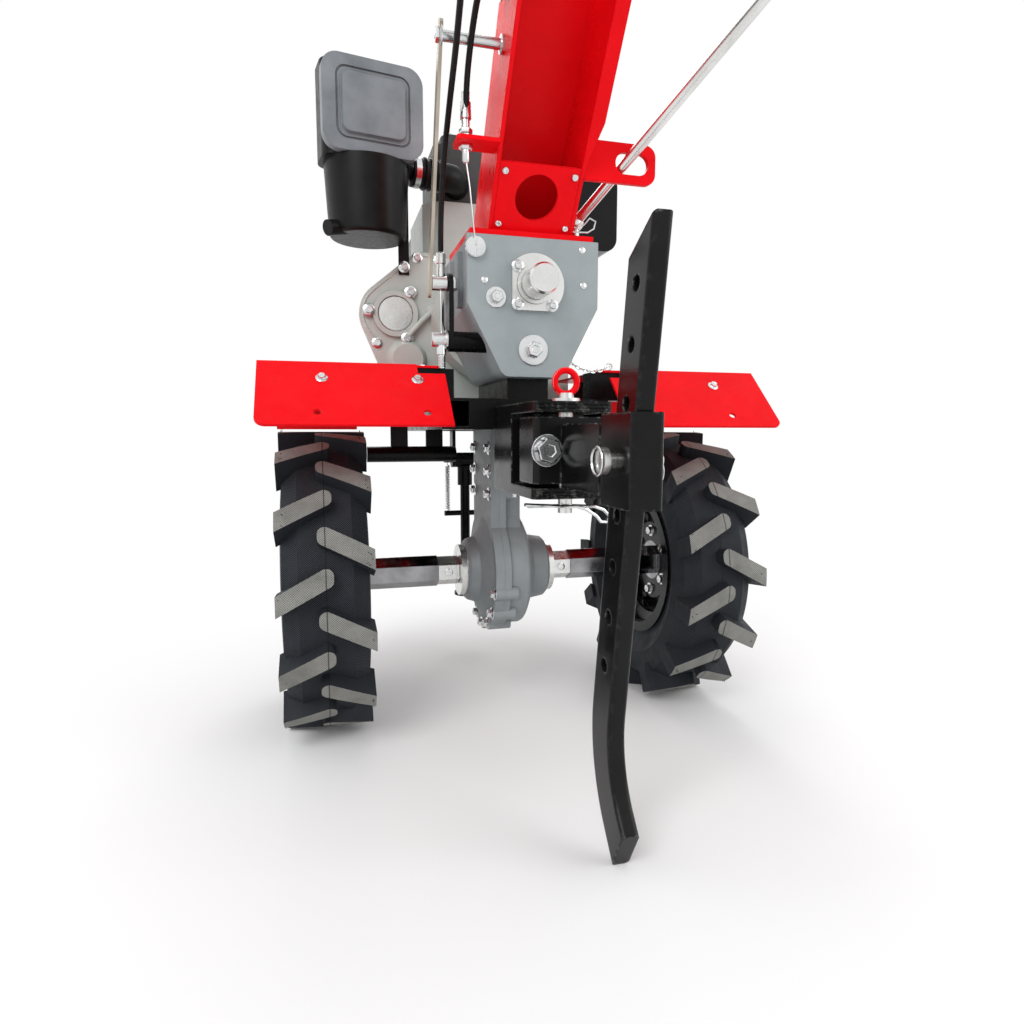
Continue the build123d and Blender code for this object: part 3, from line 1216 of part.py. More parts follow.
with BuildPart() as cylinder_head:
    with BuildSketch(Plane.XY.offset(HEAD_Z)):
        with Locations((0, CYLINDER_Y)):
            RectangleRounded(2 * FIN_HALF_W - 2 * HEAD_INSET, 2 * FIN_HALF_D, HEAD_CORNER_R)
    extrude(amount=HEAD_H)
    with BuildSketch(Plane.XY.offset(HEAD_Z + HEAD_H)):
        with Locations((0, CYLINDER_Y)):
            RectangleRounded(ROCKER_W, ROCKER_D, ROCKER_CORNER_R)
    extrude(amount=ROCKER_H)
    for i in range(HEAD_SLOTS):
        x = (i - (HEAD_SLOTS - 1) / 2) * HEAD_SLOT_PITCH
        with Locations((x, CYLINDER_Y + FIN_HALF_D, HEAD_Z + HEAD_H / 2)):
            Box(HEAD_SLOT_W, 2 * HEAD_SLOT_D, HEAD_H - 2 * HEAD_SLOT_EDGE, mode=Mode.SUBTRACT)

with BuildPart() as blower_shroud:
    with BuildSketch(facing_back(CASE_FRONT_Y + SHROUD_T)):
        with Locations((0, CRANK_Z)):
            Circle(SHROUD_R)
        with Locations((0, (CRANK_Z + SHROUD_TOP_Z) / 2)):
            Rectangle(2 * FIN_HALF_W + 2 * SHROUD_MARGIN, SHROUD_TOP_Z - CRANK_Z)
    extrude(amount=SHROUD_T)
    offset(amount=-SHROUD_WALL, openings=blower_shroud.faces().sort_by(Axis.Y)[0])

with BuildPart() as recoil_starter:
    with BuildSketch(facing_back(CASE_FRONT_Y + SHROUD_T + STARTER_T)):
        with Locations((0, CRANK_Z)):
            Circle(STARTER_R)
    extrude(amount=STARTER_T)
    fillet(recoil_starter.faces().sort_by(Axis.Y)[-1].edges(), STARTER_EDGE_R)
    offset(amount=-SHROUD_WALL, openings=recoil_starter.faces().sort_by(Axis.Y)[0])
    with BuildSketch(facing_back(CASE_FRONT_Y + SHROUD_T + STARTER_T)):
        with Locations((0, CRANK_Z)):
            with PolarLocations(VENT_CIRCLE_R, VENT_COUNT):
                SlotOverall(VENT_L, VENT_W)
    extrude(amount=2 * SHROUD_WALL, mode=Mode.SUBTRACT)

with BuildPart() as fuel_tank:
    with Locations((TANK_X, TANK_REAR_Y + TANK_LENGTH / 2, SHROUD_TOP_Z + TANK_H / 2)):
        Box(2 * TANK_HALF_W, TANK_LENGTH, TANK_H)
    fillet(fuel_tank.edges().filter_by(Axis.Z), TANK_CORNER_R)
    fillet(fuel_tank.faces().sort_by(Axis.Z)[-1].edges(), TANK_TOP_R)
    add(offset(fuel_tank.part, amount=-TANK_WALL, mode=Mode.PRIVATE), mode=Mode.SUBTRACT)

with BuildPart() as tank_cap:
    with BuildSketch(Plane.XY.offset(SHROUD_TOP_Z + TANK_H)):
        with Locations((TANK_X, TANK_REAR_Y + TANK_LENGTH / 2)):
            Circle(TANK_CAP_R)
    extrude(amount=TANK_CAP_H)
    fillet(tank_cap.faces().sort_by(Axis.Z)[-1].edges(), TANK_CAP_EDGE_R)

with BuildPart() as muffler:
    with Locations((MUFFLER_X, CYLINDER_Y, MUFFLER_Z)):
        Box(MUFFLER_W, MUFFLER_L, MUFFLER_H)
    fillet(muffler.edges().filter_by(Axis.Y), MUFFLER_EDGE_R)
    add(offset(muffler.part, amount=-MUFFLER_WALL, mode=Mode.PRIVATE), mode=Mode.SUBTRACT)
    with BuildSketch(across(FIN_HALF_W - EXHAUST_LAP)):
        with Locations((CYLINDER_Y, HEAD_Z + HEAD_H / 2)):
            Circle(EXHAUST_R)
    extrude(amount=MUFFLER_X - MUFFLER_W / 2 - FIN_HALF_W + EXHAUST_LAP + 2 * MUFFLER_WALL)
    with BuildSketch(facing_back(CYLINDER_Y + MUFFLER_L / 2 + OUTLET_L)):
        with Locations((MUFFLER_X + OUTLET_SIDE, MUFFLER_Z)):
            Circle(OUTLET_R)
            Circle(OUTLET_R - OUTLET_WALL, mode=Mode.SUBTRACT)
    extrude(amount=OUTLET_L + MUFFLER_WALL)

AIR_PLANE = Plane(
    origin=(AIR_X, AIR_Y, AIR_Z),
    x_dir=(cos(radians(AIR_YAW)), sin(radians(AIR_YAW)), 0),
    z_dir=(0, 0, 1),
)
AIR_FACE = Plane(
    origin=AIR_PLANE.from_local_coords((0, -AIR_D / 2, AIR_H / 2)),
    x_dir=AIR_PLANE.x_dir,
    z_dir=-AIR_PLANE.y_dir,
)

with BuildPart() as air_cleaner:
    with BuildSketch(AIR_PLANE):
        RectangleRounded(AIR_W - 2 * AIR_BODY_INSET, AIR_D, AIR_CORNER_R)
    extrude(amount=AIR_H)
    with BuildSketch(AIR_PLANE.offset(-AIR_BOWL_H)):
        Circle(AIR_BOWL_R - AIR_BOWL_TAPER)
    with BuildSketch(AIR_PLANE):
        Circle(AIR_BOWL_R)
    loft()
    fillet(air_cleaner.faces().sort_by(Axis.Z)[0].edges(), AIR_BOWL_TAPER)
    spout_start = AIR_PLANE.from_local_coords((0, 0, -AIR_SPOUT_DROP))
    with BuildSketch(Plane(origin=spout_start, z_dir=AIR_SPOUT_DIR)):
        Circle(AIR_SPOUT_R)
    extrude(amount=AIR_SPOUT_REACH)
    strap_low_z = GEAR_TOP_Z - AIR_STRAP_LAP
    strap_high_z = AIR_Z + AIR_STRAP_GRIP
    with Locations((AIR_STRAP_X, ENGINE_REAR_Y - AIR_STRAP_T / 2, (strap_low_z + strap_high_z) / 2)):
        Box(AIR_STRAP_W, AIR_STRAP_T, strap_high_z - strap_low_z)
    with BuildSketch(AIR_FACE):
        RectangleRounded(AIR_W - 2 * AIR_OPEN_EDGE_W, AIR_H - 2 * AIR_OPEN_EDGE_H, AIR_PANEL_CORNER_R)
    extrude(amount=AIR_BACK_T - AIR_D, mode=Mode.SUBTRACT)

GROOVE_WIDE = AIR_W - 2 * AIR_PANEL_EDGE_W + 2 * AIR_GROOVE_GAP
GROOVE_HIGH = AIR_H - 2 * AIR_PANEL_EDGE_H + 2 * AIR_GROOVE_GAP

with BuildPart() as air_cleaner_lid:
    with BuildSketch(AIR_FACE):
        RectangleRounded(AIR_W, AIR_H - 2 * AIR_LID_INSET, AIR_LID_CORNER_R)
    extrude(amount=AIR_LID_T)
    with BuildSketch(AIR_FACE.offset(AIR_LID_T)):
        RectangleRounded(AIR_W - 2 * AIR_PANEL_EDGE_W, AIR_H - 2 * AIR_PANEL_EDGE_H, AIR_PANEL_CORNER_R)
    extrude(amount=AIR_PANEL_T, taper=AIR_PANEL_TAPER)
    with BuildSketch(AIR_FACE.offset(AIR_LID_T)):
        RectangleRounded(GROOVE_WIDE, GROOVE_HIGH, AIR_PANEL_CORNER_R + AIR_GROOVE_W)
        RectangleRounded(
            GROOVE_WIDE - 2 * AIR_GROOVE_W,
            GROOVE_HIGH - 2 * AIR_GROOVE_W,
            AIR_PANEL_CORNER_R,
            mode=Mode.SUBTRACT,
        )
    extrude(amount=-AIR_GROOVE_D, mode=Mode.SUBTRACT)

ELBOW_UP = AIR_H / 2 - ELBOW_DROP

with BuildPart() as intake_elbow:
    with BuildLine() as elbow_path:
        FilletPolyline(
            AIR_PLANE.from_local_coords((AIR_W / 2 - AIR_BODY_INSET, 0, ELBOW_UP)),
            AIR_PLANE.from_local_coords((ELBOW_REACH, 0, ELBOW_UP)),
            (AIR_X + ELBOW_REACH * cos(radians(AIR_YAW)), CYLINDER_Y - FIN_HALF_D, AIR_Z + ELBOW_UP),
            radius=ELBOW_BEND_R,
        )
    with BuildSketch(Plane(origin=elbow_path.line @ 0, z_dir=elbow_path.line % 0)):
        Circle(ELBOW_R)
    sweep(path=elbow_path.line)

# Handle: one bent tube with a yoke that bolts to the column's walls, grips and hand levers

HANDLE_RUN = (
    (HANDLE_HALF_W, AXLE_Y - HANDLE_REACH, GRIP_END_Z),
    (HANDLE_HALF_W, AXLE_Y - HANDLE_REACH + GRIP_RUN, GRIP_END_Z - HANDLE_RISE),
    (YOKE_HALF_W, CROSS_TUBE_Y, CROSS_TUBE_Z),
)

BRACE_Y = HANDLE_RUN[1][1] + BRACE_SETBACK
BRACE_SHARE = (CROSS_TUBE_Y - BRACE_Y) / (CROSS_TUBE_Y - HANDLE_RUN[1][1])
BRACE_HALF_W = HANDLE_RUN[2][0] + BRACE_SHARE * (HANDLE_HALF_W - HANDLE_RUN[2][0])
BRACE_Z = CROSS_TUBE_Z + BRACE_SHARE * (HANDLE_RUN[1][2] - CROSS_TUBE_Z)

with BuildPart() as handle_frame:
    with BuildLine() as handle_path:
        FilletPolyline(
            *[(-x, y, z) for x, y, z in HANDLE_RUN],
            *[(x, y, z) for x, y, z in reversed(HANDLE_RUN)],
            radius=HANDLE_BEND_R,
        )
    with BuildSketch(Plane(origin=handle_path.line @ 0, z_dir=handle_path.line % 0)):
        Circle(HANDLE_TUBE_R)
        Circle(HANDLE_TUBE_R - HANDLE_TUBE_WALL, mode=Mode.SUBTRACT)
    sweep(path=handle_path.line)
    for sign in (-1, 1):
        with BuildSketch(across(sign * (COLUMN_W / 2 + YOKE_T / 2) - YOKE_T / 2)):
            with BuildLine():
                Polyline(
                    (PIVOT_Y + YOKE_FOOT_AHEAD, PIVOT_Z - YOKE_FOOT_DROP),
                    (PIVOT_Y + YOKE_TOP_AHEAD, PIVOT_Z + YOKE_TOP_H),
                    (CROSS_TUBE_Y, CROSS_TUBE_Z + YOKE_END_H / 2),
                    (CROSS_TUBE_Y, CROSS_TUBE_Z - YOKE_END_H / 2),
                    close=True,
                )
            make_face()
        extrude(amount=YOKE_T)
    with BuildSketch(across(-BRACE_HALF_W)):
        with Locations((BRACE_Y, BRACE_Z)):
            Circle(BRACE_R)
    extrude(amount=2 * BRACE_HALF_W)

GRIP_DIR = (Vector(*HANDLE_RUN[1]) - Vector(*HANDLE_RUN[0])).normalized()

with BuildPart() as grip_right:
    with BuildSketch(Plane(origin=HANDLE_RUN[0], z_dir=GRIP_DIR)):
        Circle(GRIP_R)
        Circle(HANDLE_TUBE_R + SHEET_FIT, mode=Mode.SUBTRACT)
    extrude(amount=GRIP_LENGTH)

LEVER_FOOT = Vector(*HANDLE_RUN[0]) + GRIP_DIR * (GRIP_LENGTH + LEVER_SETBACK)

with BuildPart() as lever_right:
    with BuildSketch(Plane(origin=LEVER_FOOT, z_dir=GRIP_DIR)):
        Circle(HANDLE_TUBE_R + LEVER_CLAMP_T)
        Circle(HANDLE_TUBE_R + SHEET_FIT, mode=Mode.SUBTRACT)
    extrude(amount=LEVER_CLAMP_L)
    with BuildLine() as lever_path:
        FilletPolyline(
            LEVER_FOOT + Vector(0, LEVER_CLAMP_L / 2, -HANDLE_TUBE_R - LEVER_CLAMP_T / 2),
            LEVER_FOOT + Vector(0, 0, -HANDLE_TUBE_R - LEVER_DROP),
            LEVER_FOOT + Vector(0, -LEVER_RUN, -HANDLE_TUBE_R - LEVER_DROP + LEVER_ROD_R),
            radius=LEVER_BEND_R,
        )
    with BuildSketch(Plane(origin=lever_path.line @ 0, z_dir=lever_path.line % 0)):
        Circle(LEVER_ROD_R)
    sweep(path=lever_path.line)

# Control cables: from the hand levers along the handle tubes, then down the column's left side to the
# clutch lever's eye and to the bracket on the column

CABLE_DROP = HANDLE_TUBE_R + CABLE_R + SHEET_FIT
CABLE_START = LEVER_FOOT + GRIP_DIR * (LEVER_CLAMP_L + SHEET_FIT) - Vector(0, 0, CABLE_DROP)
EYE_X = CLUTCH_ARM_X - CLUTCH_ARM_T - CLUTCH_EYE_L / 2
EYE_TOP_Z = CLUTCH_Z + CLUTCH_ARM_L + CLUTCH_EYE_R + SHEET_FIT
TAB_HOLE_X = -COLUMN_W / 2 - TAB_HOLE_REACH

# Points of the stretch under the right handle tube, which both cables follow: (x, y from the axle, z)
TUBE_STRETCH = ((300, -770, 979), (292, -690, 971), (252, -608, 962), (203, -531, 949), (154, -454, 930))
# Points from the handle's root down to the clutch lever's eye
EYE_STRETCH = (
    (-128, -378, 901),
    (-119, -313, 868),
    (-114, -250, 829),
    (-112, -190, 786),
    (-112, -142, 735),
    (-112, -118, 669),
)
# Points from the handle's root across to the left and down to the bracket
TAB_STRETCH = (
    (98, -412, 910),
    (25, -398, 899),
    (-48, -384, 893),
    (-88, -336, 884),
    (-96, -278, 866),
    (-95, -226, 836),
    (-93.5, -190, 796),
)

tube_points = [Vector(x, AXLE_Y + y, z) for x, y, z in TUBE_STRETCH]
left_tube_points = [Vector(-point.X, point.Y, point.Z) for point in tube_points]
eye_points = [Vector(x, AXLE_Y + y, z) for x, y, z in EYE_STRETCH]
tab_points = [Vector(x, AXLE_Y + y, z) for x, y, z in TAB_STRETCH]
left_start = Vector(-CABLE_START.X, CABLE_START.Y, CABLE_START.Z)
left_route = [left_start, *left_tube_points, *eye_points, Vector(EYE_X, CLUTCH_Y, EYE_TOP_Z)]
right_route = [CABLE_START, *tube_points, *tab_points, Vector(TAB_HOLE_X, TAB_Y, TAB_Z)]


def corner_radii(route):
    """The largest radius that each corner's two runs allow."""
    radii = []
    for before, corner, after in zip(route, route[1:], route[2:]):
        arriving = corner - before
        leaving = after - corner
        half_turn = radians(arriving.get_angle(leaving) / 2)
        radii.append(0.45 * min(arriving.length, leaving.length) * cos(half_turn) / sin(half_turn))
    return radii


with BuildPart() as cable_left:
    with BuildLine() as cable_left_path:
        FilletPolyline(*left_route, radius=corner_radii(left_route))
    with BuildSketch(Plane(origin=left_start, z_dir=cable_left_path.line % 0)):
        Circle(CABLE_R)
    sweep(path=cable_left_path.line)

with BuildPart() as cable_right:
    with BuildLine() as cable_right_path:
        FilletPolyline(*right_route, radius=corner_radii(right_route))
    with BuildSketch(Plane(origin=CABLE_START, z_dir=cable_right_path.line % 0)):
        Circle(CABLE_R)
    sweep(path=cable_right_path.line)

for name, route, path in (
    ("cable_left", left_route, cable_left_path),
    ("cable_right", right_route, cable_right_path),
):
    length = sum(edge.length for edge in path.edges())
    print(name, "length", round(length), "radii", [round(radius) for radius in corner_radii(route)])

# Every piece by its node name; pieces named right have a mirrored twin on the left

single_pieces = {
    "cross_shaft": cross_shaft,
    "bearing_caps": bearing_caps,
    "engine_bed": engine_bed,
    "front_bumper": front_bumper,
    "final_drive_case": final_drive_case,
    "final_drive_cover": final_drive_cover,
    "gearbox_case": gearbox_case,
    "gearbox_cover": gearbox_cover,
    "pto_flange": pto_flange,
    "pto_shaft": pto_shaft,
    "column": column,
    "column_closer": column_closer,
    "shift_guide": shift_guide,
    "shift_rod": shift_rod,
    "clutch_lever": clutch_lever,
    "cable_tab": cable_tab,
    "cable_left": cable_left,
    "cable_right": cable_right,
    "hitch_seat": hitch_seat,
    "hitch_pin": hitch_pin,
    "drawbar": drawbar,
    "drag_bar": drag_bar,
    "drag_pin": drag_pin,
    "stand_leg": stand_leg,
    "stand_springs": stand_springs,
    "crankcase": crankcase,
    "gear_cover": gear_cover,
    "cover_blank": cover_blank,
    "clutch_bell": clutch_bell,
    "cylinder": cylinder,
    "air_guide": air_guide,
    "cylinder_head": cylinder_head,
    "blower_shroud": blower_shroud,
    "recoil_starter": recoil_starter,
    "fuel_tank": fuel_tank,
    "tank_cap": tank_cap,
    "muffler": muffler,
    "air_cleaner": air_cleaner,
    "air_cleaner_lid": air_cleaner_lid,
    "intake_elbow": intake_elbow,
    "handle_frame": handle_frame,
}

paired_pieces = {
    "tyre": tyre_right,
    "rim": rim_right,
    "hub": hub_right,
    "fender": fender_right,
    "fender_stay": fender_stay_right,
    "grip": grip_right,
    "lever": lever_right,
}

for name, piece in single_pieces.items():
    piece.part.label = name
    export_step(piece.part, f"parts/{name}.step")

for name, piece in paired_pieces.items():
    piece.part.label = f"{name}_right"
    export_step(piece.part, f"parts/{name}_right.step")
    with BuildPart() as twin:
        add(mirror(piece.part, about=Plane.YZ))
    twin.part.label = f"{name}_left"
    export_step(twin.part, f"parts/{name}_left.step")
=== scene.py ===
"""Looks of the power weeder: finishes for the CAD pieces, fasteners, cables, small fittings and studio.

Blender works in metres in the CAD frame: +X is the operator's right, +Y is forward, +Z is up. Places and
sizes of the added pieces are in millimetres, with y counted from the wheel axle, and at() turns them into
the frame. Materials are in metres.
"""

import json
import math
import random

import bmesh
import bpy
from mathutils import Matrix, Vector
from mathutils.bvhtree import BVHTree


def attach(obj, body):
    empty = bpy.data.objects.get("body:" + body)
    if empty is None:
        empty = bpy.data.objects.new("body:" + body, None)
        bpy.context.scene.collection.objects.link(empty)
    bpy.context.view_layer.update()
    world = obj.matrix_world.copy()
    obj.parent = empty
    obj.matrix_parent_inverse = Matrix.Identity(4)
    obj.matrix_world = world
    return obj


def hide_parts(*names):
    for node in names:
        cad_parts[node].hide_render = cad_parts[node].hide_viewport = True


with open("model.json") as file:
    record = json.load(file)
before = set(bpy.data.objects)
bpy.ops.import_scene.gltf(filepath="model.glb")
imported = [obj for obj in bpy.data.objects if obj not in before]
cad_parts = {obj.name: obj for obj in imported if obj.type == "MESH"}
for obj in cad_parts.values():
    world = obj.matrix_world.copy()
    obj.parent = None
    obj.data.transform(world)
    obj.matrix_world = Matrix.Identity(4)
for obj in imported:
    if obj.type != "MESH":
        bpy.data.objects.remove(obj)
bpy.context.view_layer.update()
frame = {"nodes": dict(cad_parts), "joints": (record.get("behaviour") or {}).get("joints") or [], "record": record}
nodes = frame["nodes"]
joints = {joint["name"]: joint for joint in frame["joints"]}
AXLE = Vector(joints["axle_spin"]["pos_m"])
MM = 0.001
BACK = Vector((0, -1, 0))
FRONT = Vector((0, 1, 0))
LEFT = Vector((-1, 0, 0))
RIGHT = Vector((1, 0, 0))
UP = Vector((0, 0, 1))
DOWN = Vector((0, 0, -1))


def at(x, y, z):
    """A point in millimetres: x from the middle plane, y ahead of the wheel axle, z above the ground."""
    return Vector((x * MM, AXLE.y + y * MM, z * MM))


# Material building blocks


def new_material(name):
    """An empty node material: (material, node tree, its Principled shader, an Object coordinate socket)."""
    material = bpy.data.materials.new(name)
    material.use_nodes = True
    tree = material.node_tree
    shader = tree.nodes["Principled BSDF"]
    coords = tree.nodes.new("ShaderNodeTexCoord").outputs["Object"]
    return material, tree, shader, coords


def noise(tree, coords, scale, detail=4.0, roughness=0.55):
    """The grey value of a noise texture; scale is in features per metre."""
    texture = tree.nodes.new("ShaderNodeTexNoise")
    texture.inputs["Scale"].default_value = scale
    texture.inputs["Detail"].default_value = detail
    texture.inputs["Roughness"].default_value = roughness
    tree.links.new(coords, texture.inputs["Vector"])
    return texture.outputs["Fac"]


def spread(tree, value, low, high, start=0.3, end=0.7):
    """value, from start to end, spread over low to high."""
    node = tree.nodes.new("ShaderNodeMapRange")
    node.inputs["From Min"].default_value = start
    node.inputs["From Max"].default_value = end
    node.inputs["To Min"].default_value = low
    node.inputs["To Max"].default_value = high
    tree.links.new(value, node.inputs["Value"])
    return node.outputs["Result"]


def calc(tree, operation, first, second=None):
    """One Math node on numbers or sockets."""
    node = tree.nodes.new("ShaderNodeMath")
    node.operation = operation
    for socket, value in zip(node.inputs, (first, second)):
        if isinstance(value, (int, float)):
            socket.default_value = value
        elif value is not None:
            tree.links.new(value, socket)
    return node.outputs["Value"]


def blend_colour(tree, factor, first, second):
    """first where factor is 0, second where it is 1; each is a colour or a colour socket."""
    node = tree.nodes.new("ShaderNodeMix")
    node.data_type = "RGBA"
    tree.links.new(factor, node.inputs["Factor"])
    for socket, colour in ((node.inputs[6], first), (node.inputs[7], second)):
        if isinstance(colour, tuple):
            socket.default_value = (*colour, 1.0)
        else:
            tree.links.new(colour, socket)
    return node.outputs[2]


def bump(tree, height, strength, distance, below=None):
    """A bumped normal; below is the normal that it lies on."""
    node = tree.nodes.new("ShaderNodeBump")
    node.inputs["Strength"].default_value = strength
    node.inputs["Distance"].default_value = distance
    tree.links.new(height, node.inputs["Height"])
    if below is not None:
        tree.links.new(below, node.inputs["Normal"])
    return node.outputs["Normal"]


def soft_edge(tree, radius):
    """The normal of an edge rounded by radius, in metres."""
    node = tree.nodes.new("ShaderNodeBevel")
    node.samples = 3
    node.inputs["Radius"].default_value = radius
    return node.outputs["Normal"]


def edge_mask(tree, rounded, low=0.02, high=0.16):
    """1 along the piece's sharp edges, where the rounded normal leaves the true one, and 0 on its faces."""
    true_normal = tree.nodes.new("ShaderNodeNewGeometry").outputs["Normal"]
    likeness = tree.nodes.new("ShaderNodeVectorMath")
    likeness.operation = "DOT_PRODUCT"
    tree.links.new(rounded, likeness.inputs[0])
    tree.links.new(true_normal, likeness.inputs[1])
    return spread(tree, calc(tree, "SUBTRACT", 1.0, likeness.outputs["Value"]), 0.0, 1.0, low, high)


def shaded_hollows(tree, distance):
    """Painted shade: 1 in corners and under overhangs of the piece, where shade falls, and 0 where it lies open.
    """
    node = tree.nodes.new("ShaderNodeAmbientOcclusion")
    node.samples = 3
    node.only_local = True
    node.inputs["Distance"].default_value = distance
    return spread(tree, node.outputs["AO"], 1.0, 0.0, 0.25, 0.85)


def looking_up(tree, amount):
    """amount on faces that look up, 0 on upright ones."""
    split = tree.nodes.new("ShaderNodeSeparateXYZ")
    tree.links.new(tree.nodes.new("ShaderNodeNewGeometry").outputs["Normal"], split.inputs["Vector"])
    return spread(tree, split.outputs["Z"], 0.0, amount, 0.3, 1.0)


def from_axle(tree, coords):
    """Sockets in metres: x, ahead of the wheel axle, above it, and the distance from its line."""
    split = tree.nodes.new("ShaderNodeSeparateXYZ")
    tree.links.new(coords, split.inputs["Vector"])
    ahead = calc(tree, "SUBTRACT", split.outputs["Y"], AXLE.y)
    above = calc(tree, "SUBTRACT", split.outputs["Z"], AXLE.z)
    squares = calc(tree, "ADD", calc(tree, "MULTIPLY", ahead, ahead), calc(tree, "MULTIPLY", above, above))
    return split.outputs["X"], ahead, above, calc(tree, "SQRT", squares)


# Finishes

DUST = (0.4, 0.38, 0.35)
# The next colour is painted shade, laid into the corners and recesses of castings.
HOLLOW_SHADE = (0.03, 0.03, 0.028)
SCUFF = (0.09, 0.09, 0.09)
STAIN = (0.16, 0.14, 0.12)
# How far the painted shade in recesses reaches, in metres.
HOLLOW_SHADE_REACH = 0.018
CAST_EDGE = 0.0014
MOULD_EDGE = 0.0012


def paint(name, colour, shade, roughness, gloss, wear_and_highlight_colour, wear_and_highlight, peel=0.1, dust=0.05, edge=0.0012):
    """Sprayed paint: tone drift, orange peel, edges worn in places (on the black paints these pale edges are also
    painted highlights), and thin dust on faces that look up.
    """
    material, tree, shader, coords = new_material(name)
    tone = blend_colour(tree, spread(tree, noise(tree, coords, 14.0), 0.0, 1.0), colour, shade)
    patches = spread(tree, noise(tree, coords, 60.0), 0.0, 1.0)
    dusted = calc(tree, "MULTIPLY", looking_up(tree, dust), patches)
    tone = blend_colour(tree, dusted, tone, DUST)
    # Worn edges in places. On the black paints their pale colour is also a painted edge highlight.
    chips_and_glints = spread(tree, noise(tree, coords, 130.0, 6.0), 0.0, wear_and_highlight, 0.5, 0.72)
    rounded = soft_edge(tree, edge)
    tone = blend_colour(tree, calc(tree, "MULTIPLY", edge_mask(tree, rounded), chips_and_glints), tone, wear_and_highlight_colour)
    tree.links.new(tone, shader.inputs["Base Color"])
    shine = spread(tree, noise(tree, coords, 45.0), roughness * 0.8, roughness * 1.3)
    tree.links.new(shine, shader.inputs["Roughness"])
    shader.inputs["Specular IOR Level"].default_value = gloss
    skin = bump(tree, noise(tree, coords, 420.0, 2.0), peel, 0.0005, rounded)
    tree.links.new(skin, shader.inputs["Normal"])
    return material


def casting(name, colour, shade, metallic, roughness, grain, hollow_shade_amount=0.45):
    """A sand or die casting: grainy skin, blotchy tone, and painted shade in its recesses, blotched like oily
    dirt.
    """
    material, tree, shader, coords = new_material(name)
    tone = blend_colour(tree, spread(tree, noise(tree, coords, 22.0), 0.0, 1.0), colour, shade)
    # Painted shade: the occlusion of corners and recesses darkens the tone, in blotches.
    blots = spread(tree, noise(tree, coords, 75.0, 5.0), hollow_shade_amount * 0.4, hollow_shade_amount)
    tone = blend_colour(tree, calc(tree, "MULTIPLY", shaded_hollows(tree, HOLLOW_SHADE_REACH), blots), tone, HOLLOW_SHADE)
    pale = tuple(min(1.0, 1.5 * part) for part in colour)
    rounded = soft_edge(tree, CAST_EDGE)
    patches = spread(tree, noise(tree, coords, 90.0), 0.1, 0.7)
    tone = blend_colour(tree, calc(tree, "MULTIPLY", edge_mask(tree, rounded), patches), tone, pale)
    tree.links.new(tone, shader.inputs["Base Color"])
    shader.inputs["Metallic"].default_value = metallic
    shader.inputs["Specular IOR Level"].default_value = 0.35
    shine = spread(tree, noise(tree, coords, 90.0), roughness * 0.85, roughness * 1.2)
    tree.links.new(shine, shader.inputs["Roughness"])
    skin = bump(tree, noise(tree, coords, 700.0, 3.0), grain, 0.0006, rounded)
    tree.links.new(bump(tree, noise(tree, coords, 60.0, 2.0), 0.2, 0.0012, skin), shader.inputs["Normal"])
    return material


def steel(name, colour, shade, roughness):
    """Zinc-plated or turned steel: cloudy bloom, faint stains and a slightly uneven skin."""
    material, tree, shader, coords = new_material(name)
    tone = blend_colour(tree, spread(tree, noise(tree, coords, 26.0, 1.0), 0.0, 1.0), colour, shade)
    blots = spread(tree, noise(tree, coords, 60.0, 2.0), 0.0, 0.12, 0.55, 0.8)
    tone = blend_colour(tree, blots, tone, STAIN)
    tree.links.new(tone, shader.inputs["Base Color"])
    shader.inputs["Metallic"].default_value = 1.0
    shine = spread(tree, noise(tree, coords, 60.0, 1.0), roughness * 0.85, roughness * 1.15)
    tree.links.new(shine, shader.inputs["Roughness"])
    skin = bump(tree, noise(tree, coords, 150.0, 1.0), 0.03, 0.0002)
    tree.links.new(skin, shader.inputs["Normal"])
    return material


def plastic(name, colour, shade, roughness, grain, gloss=0.3):
    """Moulded plastic or rubber with a fine grain and scuffed edges."""
    material, tree, shader, coords = new_material(name)
    tone = blend_colour(tree, spread(tree, noise(tree, coords, 30.0), 0.0, 1.0), colour, shade)
    rounded = soft_edge(tree, MOULD_EDGE)
    patches = spread(tree, noise(tree, coords, 110.0), 0.0, 0.5)
    tone = blend_colour(tree, calc(tree, "MULTIPLY", edge_mask(tree, rounded), patches), tone, SCUFF)
    tree.links.new(tone, shader.inputs["Base Color"])
    shine = spread(tree, noise(tree, coords, 120.0), roughness * 0.85, roughness * 1.2)
    tree.links.new(shine, shader.inputs["Roughness"])
    shader.inputs["Specular IOR Level"].default_value = gloss
    skin = bump(tree, noise(tree, coords, 1100.0, 2.0), grain, 0.0004, rounded)
    tree.links.new(skin, shader.inputs["Normal"])
    return material


HUB_TUBE_R = 0.03
HUB_BLEND = 0.002
HUB_EDGE = 0.0015


def polished_hub(name):
    """Hub: black polish that mirrors on the hexagonal tube and is duller on the flange by the wheel."""
    material, tree, shader, coords = new_material(name)
    radius = from_axle(tree, coords)[3]
    flange = spread(tree, radius, 0.0, 1.0, HUB_TUBE_R, HUB_TUBE_R + HUB_BLEND)
    cloud = spread(tree, noise(tree, coords, 40.0, 2.0), 0.0, 1.0)
    tube_tone = blend_colour(tree, cloud, (0.2, 0.2, 0.205), (0.32, 0.32, 0.33))
    tone = blend_colour(tree, flange, tube_tone, (0.016, 0.016, 0.017))
    tree.links.new(tone, shader.inputs["Base Color"])
    shader.inputs["Metallic"].default_value = 1.0
    tree.links.new(spread(tree, noise(tree, coords, 60.0, 2.0), 0.1, 0.2), shader.inputs["Roughness"])
    skin = bump(tree, noise(tree, coords, 200.0, 2.0), 0.05, 0.0003, soft_edge(tree, HUB_EDGE))
    tree.links.new(skin, shader.inputs["Normal"])
    return material


WEAVE = 0.0028
SEAM = 0.0007
LUG_FACE_R = 0.2035
LUG_TOP_R = AXLE.z - 0.0006
WHEEL_X = 0.264


